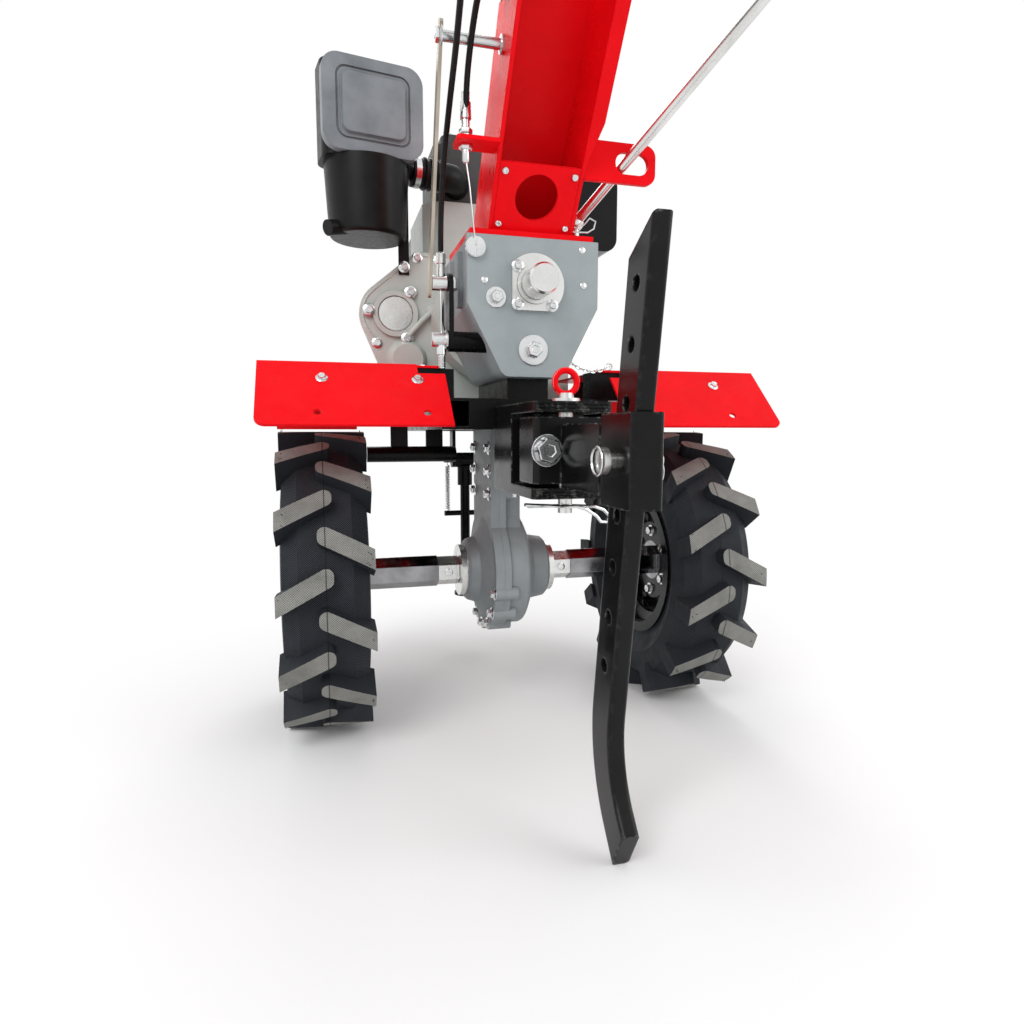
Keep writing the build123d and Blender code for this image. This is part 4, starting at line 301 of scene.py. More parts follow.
def tyre_rubber(name):
    """Tyre: dark woven carcass, lug faces paler with dust and a painted sheen, and the mould's seam round the
    middle of the tread.
    """
    material, tree, shader, coords = new_material(name)
    sideways, ahead, above, radius = from_axle(tree, coords)
    along = calc(tree, "MULTIPLY", calc(tree, "ARCTAN2", above, ahead), AXLE.z)
    thread_a = calc(tree, "SINE", calc(tree, "MULTIPLY", sideways, 2 * math.pi / WEAVE))
    thread_b = calc(tree, "SINE", calc(tree, "MULTIPLY", along, 2 * math.pi / WEAVE))
    outwards = tree.nodes.new("ShaderNodeCombineXYZ")
    tree.links.new(calc(tree, "DIVIDE", ahead, radius), outwards.inputs["Y"])
    tree.links.new(calc(tree, "DIVIDE", above, radius), outwards.inputs["Z"])
    facing = tree.nodes.new("ShaderNodeVectorMath")
    facing.operation = "DOT_PRODUCT"
    tree.links.new(tree.nodes.new("ShaderNodeTexCoord").outputs["Normal"], facing.inputs[0])
    tree.links.new(outwards.outputs["Vector"], facing.inputs[1])
    on_tread = spread(tree, facing.outputs["Value"], 0.0, 1.0, 0.55, 0.75)
    threads = calc(tree, "MULTIPLY", calc(tree, "MULTIPLY", thread_a, thread_b), on_tread)
    weave = spread(tree, threads, 0.0, 1.0, -1.0, 1.0)
    # Lug faces: these get the pale tone below, which is dust together with a painted sheen.
    face = calc(tree, "MULTIPLY", spread(tree, radius, 0.0, 1.0, LUG_FACE_R, LUG_TOP_R), on_tread)
    blotch = noise(tree, coords, 38.0, 5.0)
    stitch = spread(tree, weave, 0.0, 1.0, 0.3, 0.75)
    dark = blend_colour(tree, stitch, (0.003, 0.0034, 0.0042), (0.042, 0.047, 0.058))
    cloud = spread(tree, blotch, 0.0, 1.0, 0.25, 0.75)
    # The lug faces' pale tone: dust together with a painted sheen.
    pale = blend_colour(tree, cloud, (0.18, 0.18, 0.168), (0.34, 0.34, 0.316))
    pale = blend_colour(tree, spread(tree, weave, 0.8, 0.0, 0.25, 0.6), pale, (0.085, 0.085, 0.08))
    tone = blend_colour(tree, face, dark, pale)
    patches = spread(tree, noise(tree, coords, 16.0, 6.0), 0.0, 0.4, 0.5, 0.8)
    dusted = calc(tree, "MULTIPLY", patches, looking_up(tree, 0.6))
    tone = blend_colour(tree, dusted, tone, (0.1, 0.098, 0.09))
    offset = calc(tree, "SUBTRACT", calc(tree, "ABSOLUTE", sideways), WHEEL_X)
    seam = spread(tree, calc(tree, "ABSOLUTE", offset), 1.0, 0.0, SEAM * 0.6, SEAM * 1.4)
    tone = blend_colour(tree, calc(tree, "MULTIPLY", seam, 0.75), tone, (0.015, 0.015, 0.016))
    tree.links.new(tone, shader.inputs["Base Color"])
    tree.links.new(spread(tree, blotch, 0.5, 0.75), shader.inputs["Roughness"])
    shader.inputs["Specular IOR Level"].default_value = 0.16
    woven = bump(tree, weave, 0.5, 0.0008)
    ridged = bump(tree, seam, 0.6, 0.0008, woven)
    skin = bump(tree, noise(tree, coords, 900.0, 2.0), 0.15, 0.0004, ridged)
    tree.links.new(skin, shader.inputs["Normal"])
    return material


# The first colour is bare metal on the black paints' worn edges, pale enough to be painted edge highlights as
# well.
BARE_EDGE_AND_HIGHLIGHT = (0.42, 0.41, 0.39)
OLD_RED = (0.36, 0.02, 0.02)
JET = (0.003, 0.003, 0.0034)
SOOT = (0.007, 0.007, 0.007)
# Rounding of the bars' edges. It also widens their worn edges, which are painted highlights as well.
BAR_EDGE = 0.003
RED = paint("red_enamel", (0.84, 0.004, 0.009), (0.75, 0.003, 0.007), 0.3, 0.06, OLD_RED, 0.5, dust=0.02)
BLACK = paint("black_enamel", JET, (0.006, 0.006, 0.0065), 0.26, 0.14, BARE_EDGE_AND_HIGHLIGHT, 0.6, dust=0.03)
GLOSS_BLACK = paint("black_stoved", JET, (0.005, 0.005, 0.0055), 0.14, 0.2, BARE_EDGE_AND_HIGHLIGHT, 0.5, dust=0.02)
# The bars' edges wear through fully, which makes strong painted edge highlights as well as wear.
WORN_BLACK = paint("black_bar_paint", JET, SOOT, 0.2, 0.16, BARE_EDGE_AND_HIGHLIGHT, 1.0, dust=0.03, edge=BAR_EDGE)
HUB_BLACK = polished_hub("black_hub_polish")
BAR_BLACK = paint("black_gloss_bar", JET, SOOT, 0.13, 0.18, BARE_EDGE_AND_HIGHLIGHT, 1.0, dust=0.03, edge=BAR_EDGE)
GREY_CAST = casting("grey_casting", (0.255, 0.28, 0.29), (0.205, 0.226, 0.234), 0.0, 0.45, 0.2)
BLUE_CAST = casting("blue_grey_casting", (0.305, 0.345, 0.358), (0.265, 0.3, 0.312), 0.0, 0.5, 0.16, 0.35)
WARM_CAST = casting("warm_casting", (0.56, 0.61, 0.575), (0.48, 0.525, 0.495), 0.0, 0.42, 0.3)
SHEET = casting("zinc_sheet", (0.46, 0.49, 0.46), (0.39, 0.415, 0.395), 0.0, 0.4, 0.08)
IRON = casting("iron_fins", (0.055, 0.056, 0.058), (0.035, 0.035, 0.037), 0.0, 0.5, 0.3)
STEEL = steel("bright_steel", (0.76, 0.765, 0.75), (0.68, 0.68, 0.665), 0.28)
ZINC = steel("zinc_fasteners", (0.76, 0.77, 0.77), (0.64, 0.65, 0.66), 0.24)
STRIP = steel("tan_strip", (0.55, 0.49, 0.4), (0.4, 0.35, 0.28), 0.35)
BLACK_PLASTIC = plastic("black_moulding", (0.004, 0.004, 0.0044), (0.008, 0.008, 0.0085), 0.34, 0.2, 0.16)
# The lid: its slate grey is lightened to paint in the sheen of its satin surface, and its strong last value is
# painted shade in the recesses.
LID_TONE_AND_SHEEN = casting("satin_moulding_with_painted_sheen", (0.225, 0.255, 0.275), (0.14, 0.165, 0.18), 0.0, 0.33, 0.06, 0.95)
SHEATH = plastic("cable_sheath", (0.004, 0.004, 0.0045), (0.008, 0.008, 0.008), 0.3, 0.1, 0.2)
GRIP = plastic("grip_rubber", (0.01, 0.01, 0.01), (0.018, 0.018, 0.018), 0.62, 0.5, 0.2)
TYRE = tyre_rubber("tyre_rubber")

FINISHES = {
    "red_paint": RED,
    "black_paint": BLACK,
    "grey_casting": GREY_CAST,
    "blue_grey_casting": BLUE_CAST,
    "light_casting": WARM_CAST,
    "bright_steel": STEEL,
    "black_plastic": BLACK_PLASTIC,
    "grip_rubber": GRIP,
    "tyre_rubber": TYRE,
}
OWN_FINISHES = {
    "muffler": GLOSS_BLACK,
    "rim_left": GLOSS_BLACK,
    "rim_right": GLOSS_BLACK,
    "hub_left": HUB_BLACK,
    "hub_right": HUB_BLACK,
    "drag_bar": BAR_BLACK,
    "drawbar": WORN_BLACK,
    "hitch_seat": WORN_BLACK,
    "cylinder": IRON,
    "cylinder_head": IRON,
    "air_guide": SHEET,
    "air_cleaner_lid": LID_TONE_AND_SHEEN,
}

for subpart in frame["record"]["subparts"]:
    finish = OWN_FINISHES.get(subpart["node"], FINISHES[subpart["material_slot"]])
    node = nodes[subpart["node"]]
    node.data.materials.clear()
    node.data.materials.append(finish)


# Mesh building blocks: forms are added to a bmesh in metres, from sizes in millimetres


def turn(mesh, foot, axis, profile, sides=20):
    """A form turned about axis from foot; profile rows are (radius, height)."""
    axis = Vector(axis).normalized()
    across = axis.orthogonal().normalized()
    other = axis.cross(across)
    spokes = [
        across * math.cos(2 * math.pi * step / sides) + other * math.sin(2 * math.pi * step / sides)
        for step in range(sides)
    ]
    rings = []
    for radius, height in profile:
        centre = foot + axis * height * MM
        if radius:
            rings.append([mesh.verts.new(centre + spoke * radius * MM) for spoke in spokes])
        else:
            rings.append([mesh.verts.new(centre)])
    for low, high in zip(rings, rings[1:]):
        for step in range(sides):
            following = (step + 1) % sides
            if len(low) == 1:
                mesh.faces.new((low[0], high[following], high[step]))
            elif len(high) == 1:
                mesh.faces.new((low[step], low[following], high[0]))
            else:
                mesh.faces.new((low[step], low[following], high[following], high[step]))
    if len(rings[0]) > 1:
        mesh.faces.new(list(reversed(rings[0])))
    if len(rings[-1]) > 1:
        mesh.faces.new(rings[-1])


def sweep(mesh, points, radius, sides=8, closed=False):
    """A round wire along points, capped at its ends unless closed."""
    count = len(points)
    rings = []
    across = None
    for index, point in enumerate(points):
        before = points[index - 1] if index or closed else point
        after = points[(index + 1) % count] if index < count - 1 or closed else point
        heading = (after - before).normalized()
        if across is None:
            across = heading.orthogonal().normalized()
        across = (across - heading * across.dot(heading)).normalized()
        other = heading.cross(across)
        ring = []
        for step in range(sides):
            angle = 2 * math.pi * step / sides
            spoke = across * math.cos(angle) + other * math.sin(angle)
            ring.append(mesh.verts.new(point + spoke * radius * MM))
        rings.append(ring)
    pairs = list(zip(rings, rings[1:]))
    if closed:
        pairs.append((rings[-1], rings[0]))
    for low, high in pairs:
        for step in range(sides):
            following = (step + 1) % sides
            mesh.faces.new((low[step], low[following], high[following], high[step]))
    if not closed:
        mesh.faces.new(list(reversed(rings[0])))
        mesh.faces.new(rings[-1])


def slab(mesh, outline, depth):
    """A flat plate: outline is a list of points in one plane, depth is the vector of its thickness."""
    low = [mesh.verts.new(point) for point in outline]
    high = [mesh.verts.new(point + depth) for point in outline]
    mesh.faces.new(list(reversed(low)))
    mesh.faces.new(high)
    for step in range(len(outline)):
        following = (step + 1) % len(outline)
        mesh.faces.new((low[step], low[following], high[following], high[step]))


def hexagon(mesh, foot, axis, radius, height):
    """A chamfered hexagon head or nut with a shallow dish in its top."""
    wall = ((radius * 0.93, 0), (radius, height * 0.12), (radius, height * 0.78), (radius * 0.86, height))
    dish = ((radius * 0.5, height), (radius * 0.42, height * 0.9), (0, height * 0.9))
    turn(mesh, foot, axis, wall + dish, 6)


def washer(mesh, foot, axis, radius, thickness):
    """A flat washer with softened edges."""
    soft = thickness * 0.25
    rows = ((radius, 0), (radius, thickness - soft), (radius - soft, thickness), (0, thickness))
    turn(mesh, foot, axis, rows, 28)


def bolt(mesh, foot, axis, radius, height, washer_r=0.0, washer_t=1.6):
    """A hexagon head on a washer or on its own flange."""
    axis = Vector(axis).normalized()
    if washer_r:
        washer(mesh, foot, axis, washer_r, washer_t)
        foot = foot + axis * washer_t * MM
    hexagon(mesh, foot, axis, radius, height)


def nut(mesh, foot, axis, radius, height, stud_r, tail):
    """A nut on its washer with the end of its stud standing out by tail."""
    bolt(mesh, foot, axis, radius, height, radius * 1.25, 1.5)
    end = height + 1.5 + tail
    turn(mesh, foot, axis, ((stud_r, 0), (stud_r, end - 1.2), (stud_r - 1.0, end), (0, end)), 14)


def flange_bolt(mesh, foot, axis, radius):
    """A small flange bolt: sloping flange below a hexagon."""
    axis = Vector(axis).normalized()
    wide = radius * 1.5
    rise = radius * 0.4
    turn(mesh, foot, axis, ((wide, 0), (wide, radius * 0.15), (radius, rise), (0, rise)), 24)
    hexagon(mesh, foot + axis * radius * 0.36 * MM, axis, radius, radius * 0.75)


def ring_points(centre, first, second, radius, count):
    """Points of a circle round centre in the plane of two unit vectors."""
    steps = [2 * math.pi * step / count for step in range(count)]
    return [centre + (first * math.cos(step) + second * math.sin(step)) * radius * MM for step in steps]


def skin_of(node):
    """The surface of a CAD node, ready for ray casts."""
    corners = [node.matrix_world @ vertex.co for vertex in node.data.vertices]
    return BVHTree.FromPolygons(corners, [face.vertices for face in node.data.polygons])


def piece(name, mesh, finish, body, smooth_below=40.0):
    """The finished mesh as one object that rides on a body."""
    bmesh.ops.recalc_face_normals(mesh, faces=mesh.faces)
    data = bpy.data.meshes.new(name)
    mesh.to_mesh(data)
    mesh.free()
    data.polygons.foreach_set("use_smooth", [True] * len(data.polygons))
    data.set_sharp_from_angle(angle=math.radians(smooth_below))
    data.materials.append(finish)
    item = bpy.data.objects.new(name, data)
    bpy.context.scene.collection.objects.link(item)
    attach(item, body)
    return item


# Gearbox: slotted screw, bolt, filler plug, dowel heads and the power take-off's flange bolts

COVER_Y = -157
FLANGE_Y = -163
SCREW = (-76, COVER_Y, 638)
SCREW_R = 12.5
SCREW_H = 4.5
SLOT_HALF = 1.3
SLOT_DEPTH = 2.2
HALF_W = 10.6
HALF_R = 11.8
HALF_STEPS = 12
FLANGE_BOLTS = ((-23, 618), (-23, 572), (22, 572))
DOWELS = ((-64, 600), (66, 600), (64, 644))
DOWEL_ROWS = ((4.2, 0), (4.2, 0.8), (3.4, 1.4), (0, 1.4))

fittings = bmesh.new()
turn(fittings, at(*SCREW), BACK, ((SCREW_R, 0), (SCREW_R, SCREW_H), (0, SCREW_H)), 30)
for side in (-1, 1):
    half = []
    for step in range(HALF_STEPS + 1):
        angle = math.pi * step / HALF_STEPS
        x = SCREW[0] + side * (SLOT_HALF + HALF_W * math.sin(angle))
        half.append(at(x, COVER_Y - SCREW_H, SCREW[2] + HALF_R * math.cos(angle)))
    slab(fittings, half, BACK * SLOT_DEPTH * MM)
bolt(fittings, at(-49.6, COVER_Y, 580), BACK, 8.2, 6.5, 13, 2.0)
bolt(fittings, at(-1, COVER_Y, 517), BACK, 10.5, 8.0, 19.5, 2.4)
for x, z in FLANGE_BOLTS:
    flange_bolt(fittings, at(x, FLANGE_Y, z), BACK, 5.2)
for x, z in DOWELS:
    turn(fittings, at(x, COVER_Y, z), BACK, DOWEL_ROWS, 16)
piece("gearbox_fasteners", fittings, ZINC, "chassis")

# Clutch linkage: swivel barrels, wire, threaded stub, and the flat pull strip up to its stud on the column

LINK_X = -112
LINK_Y = -118
UPPER_Z = 601
LOWER_Z = 531
STRIP_X = -125
STRIP_HALF_W = 6.5
STRIP_T = 4.0
STRIP_END_STEPS = 8
STRIP_TOP = (-222, 840)
BARREL = ((8.0, 0), (9.4, 1.2), (9.4, 19.8), (8.0, 21), (0, 21))
FERRULE = ((5.4, 0), (5.4, 17), (6.4, 18), (6.4, 30), (4.4, 32), (0, 32))
STUB = ((6.2, 0), (6.2, 12), (4.6, 13), (4.6, 29), (3.6, 30), (0, 30))
STRIP_STUD = ((10, 0), (10, 4), (6, 5), (6, 72), (5, 73), (0, 73))
THREADS = 7
THREAD_R = 4.6
THREAD_PITCH = 2

linkage = bmesh.new()
upper = at(LINK_X, LINK_Y, UPPER_Z)
lower = at(LINK_X, LINK_Y, LOWER_Z)
turn(linkage, at(STRIP_X, LINK_Y, UPPER_Z), RIGHT, BARREL, 24)
hexagon(linkage, at(-98, LINK_Y, UPPER_Z), RIGHT, 8.6, 7)
turn(linkage, at(LINK_X, LINK_Y, UPPER_Z + 6), UP, FERRULE, 18)
sweep(linkage, [upper, at(LINK_X, LINK_Y - 2, (UPPER_Z + LOWER_Z) / 2), lower], 1.1)
turn(linkage, at(STRIP_X, LINK_Y, LOWER_Z), RIGHT, BARREL, 24)
washer(linkage, at(-107, LINK_Y, LOWER_Z), RIGHT, 12.5, 2.6)
turn(linkage, at(LINK_X, LINK_Y, LOWER_Z - 7), DOWN, STUB, 16)
for step in range(THREADS):
    centre = at(LINK_X, LINK_Y, LOWER_Z - 22 - THREAD_PITCH * step)
    sweep(linkage, ring_points(centre, RIGHT, FRONT, THREAD_R, 16), 0.7, 5, closed=True)
turn(linkage, at(-56, *STRIP_TOP), LEFT, STRIP_STUD, 18)
nut(linkage, at(STRIP_X - 1, *STRIP_TOP), LEFT, 8, 6, 4.5, 1)
piece("clutch_linkage", linkage, ZINC, "chassis")

strip = bmesh.new()
foot = at(STRIP_X, LINK_Y, UPPER_Z - 12)
run = at(STRIP_X, *STRIP_TOP) + UP * 10 * MM - foot
wide = run.cross(RIGHT).normalized() * STRIP_HALF_W * MM
tip = run.normalized() * wide.length
outline = []
for centre, begin in ((foot, math.pi), (foot + run, 0.0)):
    for step in range(STRIP_END_STEPS + 1):
        angle = begin + math.pi * step / STRIP_END_STEPS
        outline.append(centre + wide * math.cos(angle) + tip * math.sin(angle))
slab(strip, outline, LEFT * STRIP_T * MM)
piece("pull_strip", strip, STRIP, "chassis")

# Cable adjuster on its bracket, and the wire from it to the gearbox screw

TAB_X = -93.5
TAB_Y = -190
TAB_NUTS = ((743, DOWN), (748, UP), (754.5, UP))
SLEEVE = ((4.8, 0), (4.8, 10), (6.6, 11), (6.6, 28), (5.2, 30), (5.2, 40), (4.0, 41), (0, 41))
WIRE_END = ((4.4, 0), (4.4, 12), (3.0, 14), (0, 14))
WIRE = ((TAB_X, TAB_Y, 726), (-88, -184, 700), (-80, -170, 655), (SCREW[0], COVER_Y - 5.5, SCREW[2] + 2))

adjuster = bmesh.new()
for z, heading in TAB_NUTS:
    hexagon(adjuster, at(TAB_X, TAB_Y, z), heading, 8.0, 6)
turn(adjuster, at(TAB_X, TAB_Y, 760), UP, SLEEVE, 18)
turn(adjuster, at(TAB_X, TAB_Y, 737), DOWN, WIRE_END, 16)
sweep(adjuster, [at(*place) for place in WIRE], 0.9)
piece("cable_adjuster", adjuster, ZINC, "chassis")

# Column: closing plate screws, base plate bolts, yoke bolts, ball joint nut and its clip

PLATE_Z = 663
CLOSER_OUT = Vector((0, -0.819, -0.574))
CLOSER_SCREW = ((4.6, 0), (4.6, 1.2), (3.6, 2.6), (1.4, 2.9), (0, 2.2))
YOKE_BOLTS = ((-272, 924), (-246, 884))
JOINT_NUT = (71.8, -110.5)
JOINT_CLIP = (
    (57, -122, 676),
    (84, -124, 676),
    (92, -126, 681),
    (94, -127, 690),
    (86, -126, 694),
    (79, -124, 686),
    (70, -124, 680),
    (58, -123, 683),
)

column = bmesh.new()
for x in (-44, 44):
    for along in (40, 102):
        place = at(x, -123.4 - 0.574 * along, 638.9 + 0.819 * along)
        turn(column, place, CLOSER_OUT, CLOSER_SCREW, 18)
for x, y in ((-70, -122), (-70, -32), (70, -32)):
    bolt(column, at(x, y, PLATE_Z), UP, 7.0, 5.5, 10)
for side in (-1, 1):
    for y, z in YOKE_BOLTS:
        bolt(column, at(64 * side, y, z), RIGHT * side, 9.0, 7.0, 13)
washer(column, at(*JOINT_NUT, PLATE_Z), UP, 12, 2.5)
hexagon(column, at(*JOINT_NUT, PLATE_Z + 2.5), UP, 9.5, 7)
sweep(column, [at(*place) for place in JOINT_CLIP], 1.1, 6)
piece("column_fasteners", column, ZINC, "chassis")

# Column: weld beads along its foot, and the moulded knob on the shift rod

WELD_STEP = 2.4
WELD_R = 2.6
WELD_DRIFT = 0.7
WELD_CORNERS = ((-57.5, -60), (-57.5, -136), (57.5, -136), (57.5, -60))

welds = bmesh.new()
weld_rng = random.Random(3)
corners = [at(x, y, PLATE_Z + 1) for x, y in WELD_CORNERS]
for begin, end in zip(corners, corners[1:]):
    count = int((end - begin).length / MM / WELD_STEP)
    beads = []
    for step in range(count + 1):
        across = weld_rng.uniform(-WELD_DRIFT, WELD_DRIFT)
        ahead = weld_rng.uniform(-WELD_DRIFT, WELD_DRIFT)
        above = weld_rng.uniform(-0.5, 0.8)
        beads.append(begin.lerp(end, step / count) + Vector((across, ahead, above)) * MM)
    sweep(welds, beads, WELD_R, 7)
piece("column_welds", welds, RED, "chassis")

KNOB_PLACE = (259.8, -448, 951.8)
KNOB_STEM = ((8, -27), (10, -26), (13, -16), (17.3, -6))
KNOB_HEAD = ((18.2, 2), (16.6, 10), (11, 16), (5, 18.4), (0, 18.8))
ROD_DIR = Vector((39, -70, 54)).normalized()
knob = bmesh.new()
turn(knob, at(*KNOB_PLACE), ROD_DIR, KNOB_STEM + KNOB_HEAD, 28)
piece("shift_knob", knob, BLACK_PLASTIC, "chassis")

# Engine: gear cover bolts, strap bolt, rocker cover and starter screws, crankcase bolts and drain plugs

EAR_Y = 95
EAR_CENTRE = (-147, 597)
EAR_R = 41
GEAR_COVER_Y = 100
GEAR_COVER_BOLTS = ((-112, 684), (-78, 682), (-176, 552))
ROCKER_TOP_Z = 893
STARTER_CENTRE = (-5, 589)
STARTER_BOLT_R = 118
STARTER_Y = 372
CASE_BOLTS = ((154, 494), (254, 494), (254, 606), (154, 606), (204, 618))
DRAIN = (180, 486)
FILLER = (226, 520)
OUTSIDE_X = 400

engine = bmesh.new()
for angle in (55, 175, 295):
    x = EAR_CENTRE[0] + EAR_R * math.cos(math.radians(angle))
    z = EAR_CENTRE[1] + EAR_R * math.sin(math.radians(angle))
    flange_bolt(engine, at(x, EAR_Y, z), BACK, 6.2)
for x, z in GEAR_COVER_BOLTS:
    flange_bolt(engine, at(x, GEAR_COVER_Y, z), BACK, 5.6)
flange_bolt(engine, at(-133, 96, 668), BACK, 6.0)
for x in (-50, 50):
    for y in (160, 248):
        flange_bolt(engine, at(x, y, ROCKER_TOP_Z), UP, 6.0)
for angle in (35, 145, 215, 325):
    x = STARTER_CENTRE[0] + STARTER_BOLT_R * math.cos(math.radians(angle))
    z = STARTER_CENTRE[1] + STARTER_BOLT_R * math.sin(math.radians(angle))
    flange_bolt(engine, at(x, STARTER_Y, z), FRONT, 4.6)
case_skin = skin_of(nodes["crankcase"])
for side in (-1, 1):
    for y, z in CASE_BOLTS:
        spot, normal = case_skin.ray_cast(at(OUTSIDE_X * side, y, z), LEFT * side)[:2]
        flange_bolt(engine, spot, normal, 5.6)
    spot, normal = case_skin.ray_cast(at(OUTSIDE_X * side, *DRAIN), LEFT * side)[:2]
    bolt(engine, spot, normal, 9.0, 7.0, 12.5, 2.0)
piece("engine_fasteners", engine, ZINC, "chassis")

FILLER_ROWS = ((15, 0), (15, 4), (19, 5), (19, 14), (17, 16), (6, 16), (5, 22), (0, 22))
FILLER_RIDGE = ((1.4, 0), (1.8, 1), (1.8, 8), (0.8, 9.5), (0, 9.5))
filler = bmesh.new()
spot, normal = case_skin.ray_cast(at(-OUTSIDE_X, *FILLER), RIGHT)[:2]
turn(filler, spot, normal, FILLER_ROWS, 24)
for spoke in ring_points(spot, FRONT, UP, 19, 12):
    turn(filler, spoke + normal * 5 * MM, normal, FILLER_RIDGE, 8)
piece("oil_filler", filler, BLACK_PLASTIC, "chassis")

# Fuel tank: the pressed halves' weld seam round its middle

TANK_SIDES = (-30, 170)
TANK_ENDS = (284, 449)
TANK_CORNER = 34
TANK_SEAM_Z = 830
CORNER_STEPS = 8
seam = bmesh.new()
loop = []
for x_end, y_end, begin in ((1, 1, 0), (0, 1, 90), (0, 0, 180), (1, 0, 270)):
    centre_x = TANK_SIDES[x_end] + (-TANK_CORNER if x_end else TANK_CORNER)
    centre_y = TANK_ENDS[y_end] + (-TANK_CORNER if y_end else TANK_CORNER)
    for step in range(CORNER_STEPS + 1):
        angle = math.radians(begin + 90 * step / CORNER_STEPS)
        x = centre_x + TANK_CORNER * math.cos(angle)
        loop.append(at(x, centre_y + TANK_CORNER * math.sin(angle), TANK_SEAM_Z))
sweep(seam, loop, 2.4, 8, closed=True)
piece("tank_seam", seam, RED, "chassis")

# Gear cover: oil pipe, and the raised bead along the outline, round two lobes and the straight run between

PIPE = ((-130, 97, 560), (-122, 93, 570), (-108, 93, 586), (-96, 94, 598), (-90, 99, 604))
pipe = bmesh.new()
sweep(pipe, [at(*place) for place in PIPE], 4.2, 12)
turn(pipe, at(-90, GEAR_COVER_Y, 604), BACK, ((10, 0), (10, 5), (7, 9), (0, 9)), 20)
piece("oil_pipe", pipe, WARM_CAST, "chassis")

BEAD_FROM, BEAD_OVER, BEAD_TO = 235.0, 129.6, 48.0
BEAD_LOBES = (((-152, 597), 45.0, BEAD_FROM, BEAD_OVER), ((-100, 653), 35.0, BEAD_OVER, BEAD_TO))
BEAD_STEPS = 14
bead = bmesh.new()
path = []
for (x, z), radius, begin, end in BEAD_LOBES:
    for step in range(BEAD_STEPS + 1):
        angle = math.radians(begin + (end - begin) * step / BEAD_STEPS)
        path.append(at(x + radius * math.cos(angle), GEAR_COVER_Y, z + radius * math.sin(angle)))
sweep(bead, path, 1.8, 8)
piece("gear_cover_bead", bead, WARM_CAST, "chassis")

# Intake elbow: moulded ribs and a hose clamp, along its level run from the air cleaner

INTAKE = Vector((math.cos(math.radians(10)), math.sin(math.radians(10)), 0))
SIDEWAYS = INTAKE.cross(UP)
ELBOW_FOOT = at(-188, 76, 807)
CLAMP_BAND = ((21, 0), (22.2, 0.3), (22.2, 8.7), (21, 9))
CLAMP_SCREW = ((3.4, 0), (3.4, 4), (2.2, 4.5), (2.2, 18), (0, 18))
ribs = bmesh.new()
for along in (88, 97, 106, 115):
    ring = ring_points(ELBOW_FOOT + INTAKE * along * MM, SIDEWAYS, UP, 21.5, 28)
    sweep(ribs, ring, 2.4, 8, closed=True)
piece("elbow_ribs", ribs, BLACK_PLASTIC, "chassis")
clamp = bmesh.new()
turn(clamp, ELBOW_FOOT + INTAKE * 71 * MM, INTAKE, CLAMP_BAND, 32)
screw_foot = ELBOW_FOOT + (UP * 25 + INTAKE * 75.5 - SIDEWAYS * 9) * MM
turn(clamp, screw_foot, SIDEWAYS, CLAMP_SCREW, 14)
piece("hose_clamp", clamp, ZINC, "chassis")

# Tank cap ridges, grip ribs and lever bolts

CAP_RIDGES = 24
CAP_RIDGE = ((1.2, 0), (2.0, 1), (2.0, 13), (0.8, 15), (0, 15))
ridges = bmesh.new()
for foot in ring_points(at(70, 366.5, 892), RIGHT, FRONT, 32, CAP_RIDGES):
    turn(ridges, foot, UP, CAP_RIDGE, 8)
piece("cap_ridges", ridges, BLACK_PLASTIC, "chassis")

GRIP_DIR = Vector((0, 360, -15)).normalized()
GRIP_SIDE = GRIP_DIR.cross(RIGHT)
GRIP_RIBS = 15
GRIP_RIB_PITCH = 7.6
for name, side in (("left", -1), ("right", 1)):
    sleeve = bmesh.new()
    for step in range(GRIP_RIBS):
        centre = at(300 * side, -1040, 1015) + GRIP_DIR * (10 + GRIP_RIB_PITCH * step) * MM
        sweep(sleeve, ring_points(centre, RIGHT, GRIP_SIDE, 20.6, 26), 1.5, 6, closed=True)
    piece("grip_ribs_" + name, sleeve, GRIP, "chassis")

levers = bmesh.new()
for side in (-1, 1):
    bolt(levers, at(323 * side, -870, 1008), RIGHT * side, 5.5, 4.5, 8)
piece("lever_bolts", levers, ZINC, "chassis")

# Final drive: cover bolts, and leg bolts with nuts

COVER_FACE_X = -33
CASE_FACE_X = 0
AXLE_Z = 207
COVER_BOLTS = 7
COVER_BOLT_R = 84
drive = bmesh.new()
for step in range(COVER_BOLTS):
    angle = math.radians(195 + 25 * step)
    place = (COVER_BOLT_R * math.cos(angle), AXLE_Z + COVER_BOLT_R * math.sin(angle))
    flange_bolt(drive, at(COVER_FACE_X, *place), LEFT, 6.4)
for y in (-46, 46):
    for z in (324.6, 357.6, 390.6):
        flange_bolt(drive, at(COVER_FACE_X, y, z), LEFT, 6.6)
        nut(drive, at(CASE_FACE_X, y, z), RIGHT, 7.4, 6.5, 4.0, 6)
piece("drive_fasteners", drive, ZINC, "chassis")

# Wheels: set screws in the shaft collars, and bolts with nuts through hub flange and wheel disc

FLANGE_FACE_X = 250
DISC_FACE_X = 263
WHEEL_BOLTS = 6
WHEEL_BOLT_R = 48
SET_SCREW = ((6.0, 0), (6.0, 0.9), (4.6, 1.6), (2.4, 1.6), (2.2, 0.5), (0, 0.5))
screws = bmesh.new()
for side in (-1, 1):
    turn(screws, at(88 * side, -18.4, AXLE_Z), BACK, SET_SCREW, 18)
    for step in range(WHEEL_BOLTS):
        angle = math.radians(30 + 60 * step)
        y = WHEEL_BOLT_R * math.cos(angle)
        z = AXLE_Z + WHEEL_BOLT_R * math.sin(angle)
        bolt(screws, at(FLANGE_FACE_X * side, y, z), LEFT * side, 7.0, 5.5, 9.5)
        nut(screws, at(DISC_FACE_X * side, y, z), RIGHT * side, 7.0, 5.5, 4.0, 4)
piece("wheel_fasteners", screws, ZINC, "axle")

# Hitch: spring clip through the pin, red eye sleeve, limit bolts, rings and split pins of the drag pin, chain

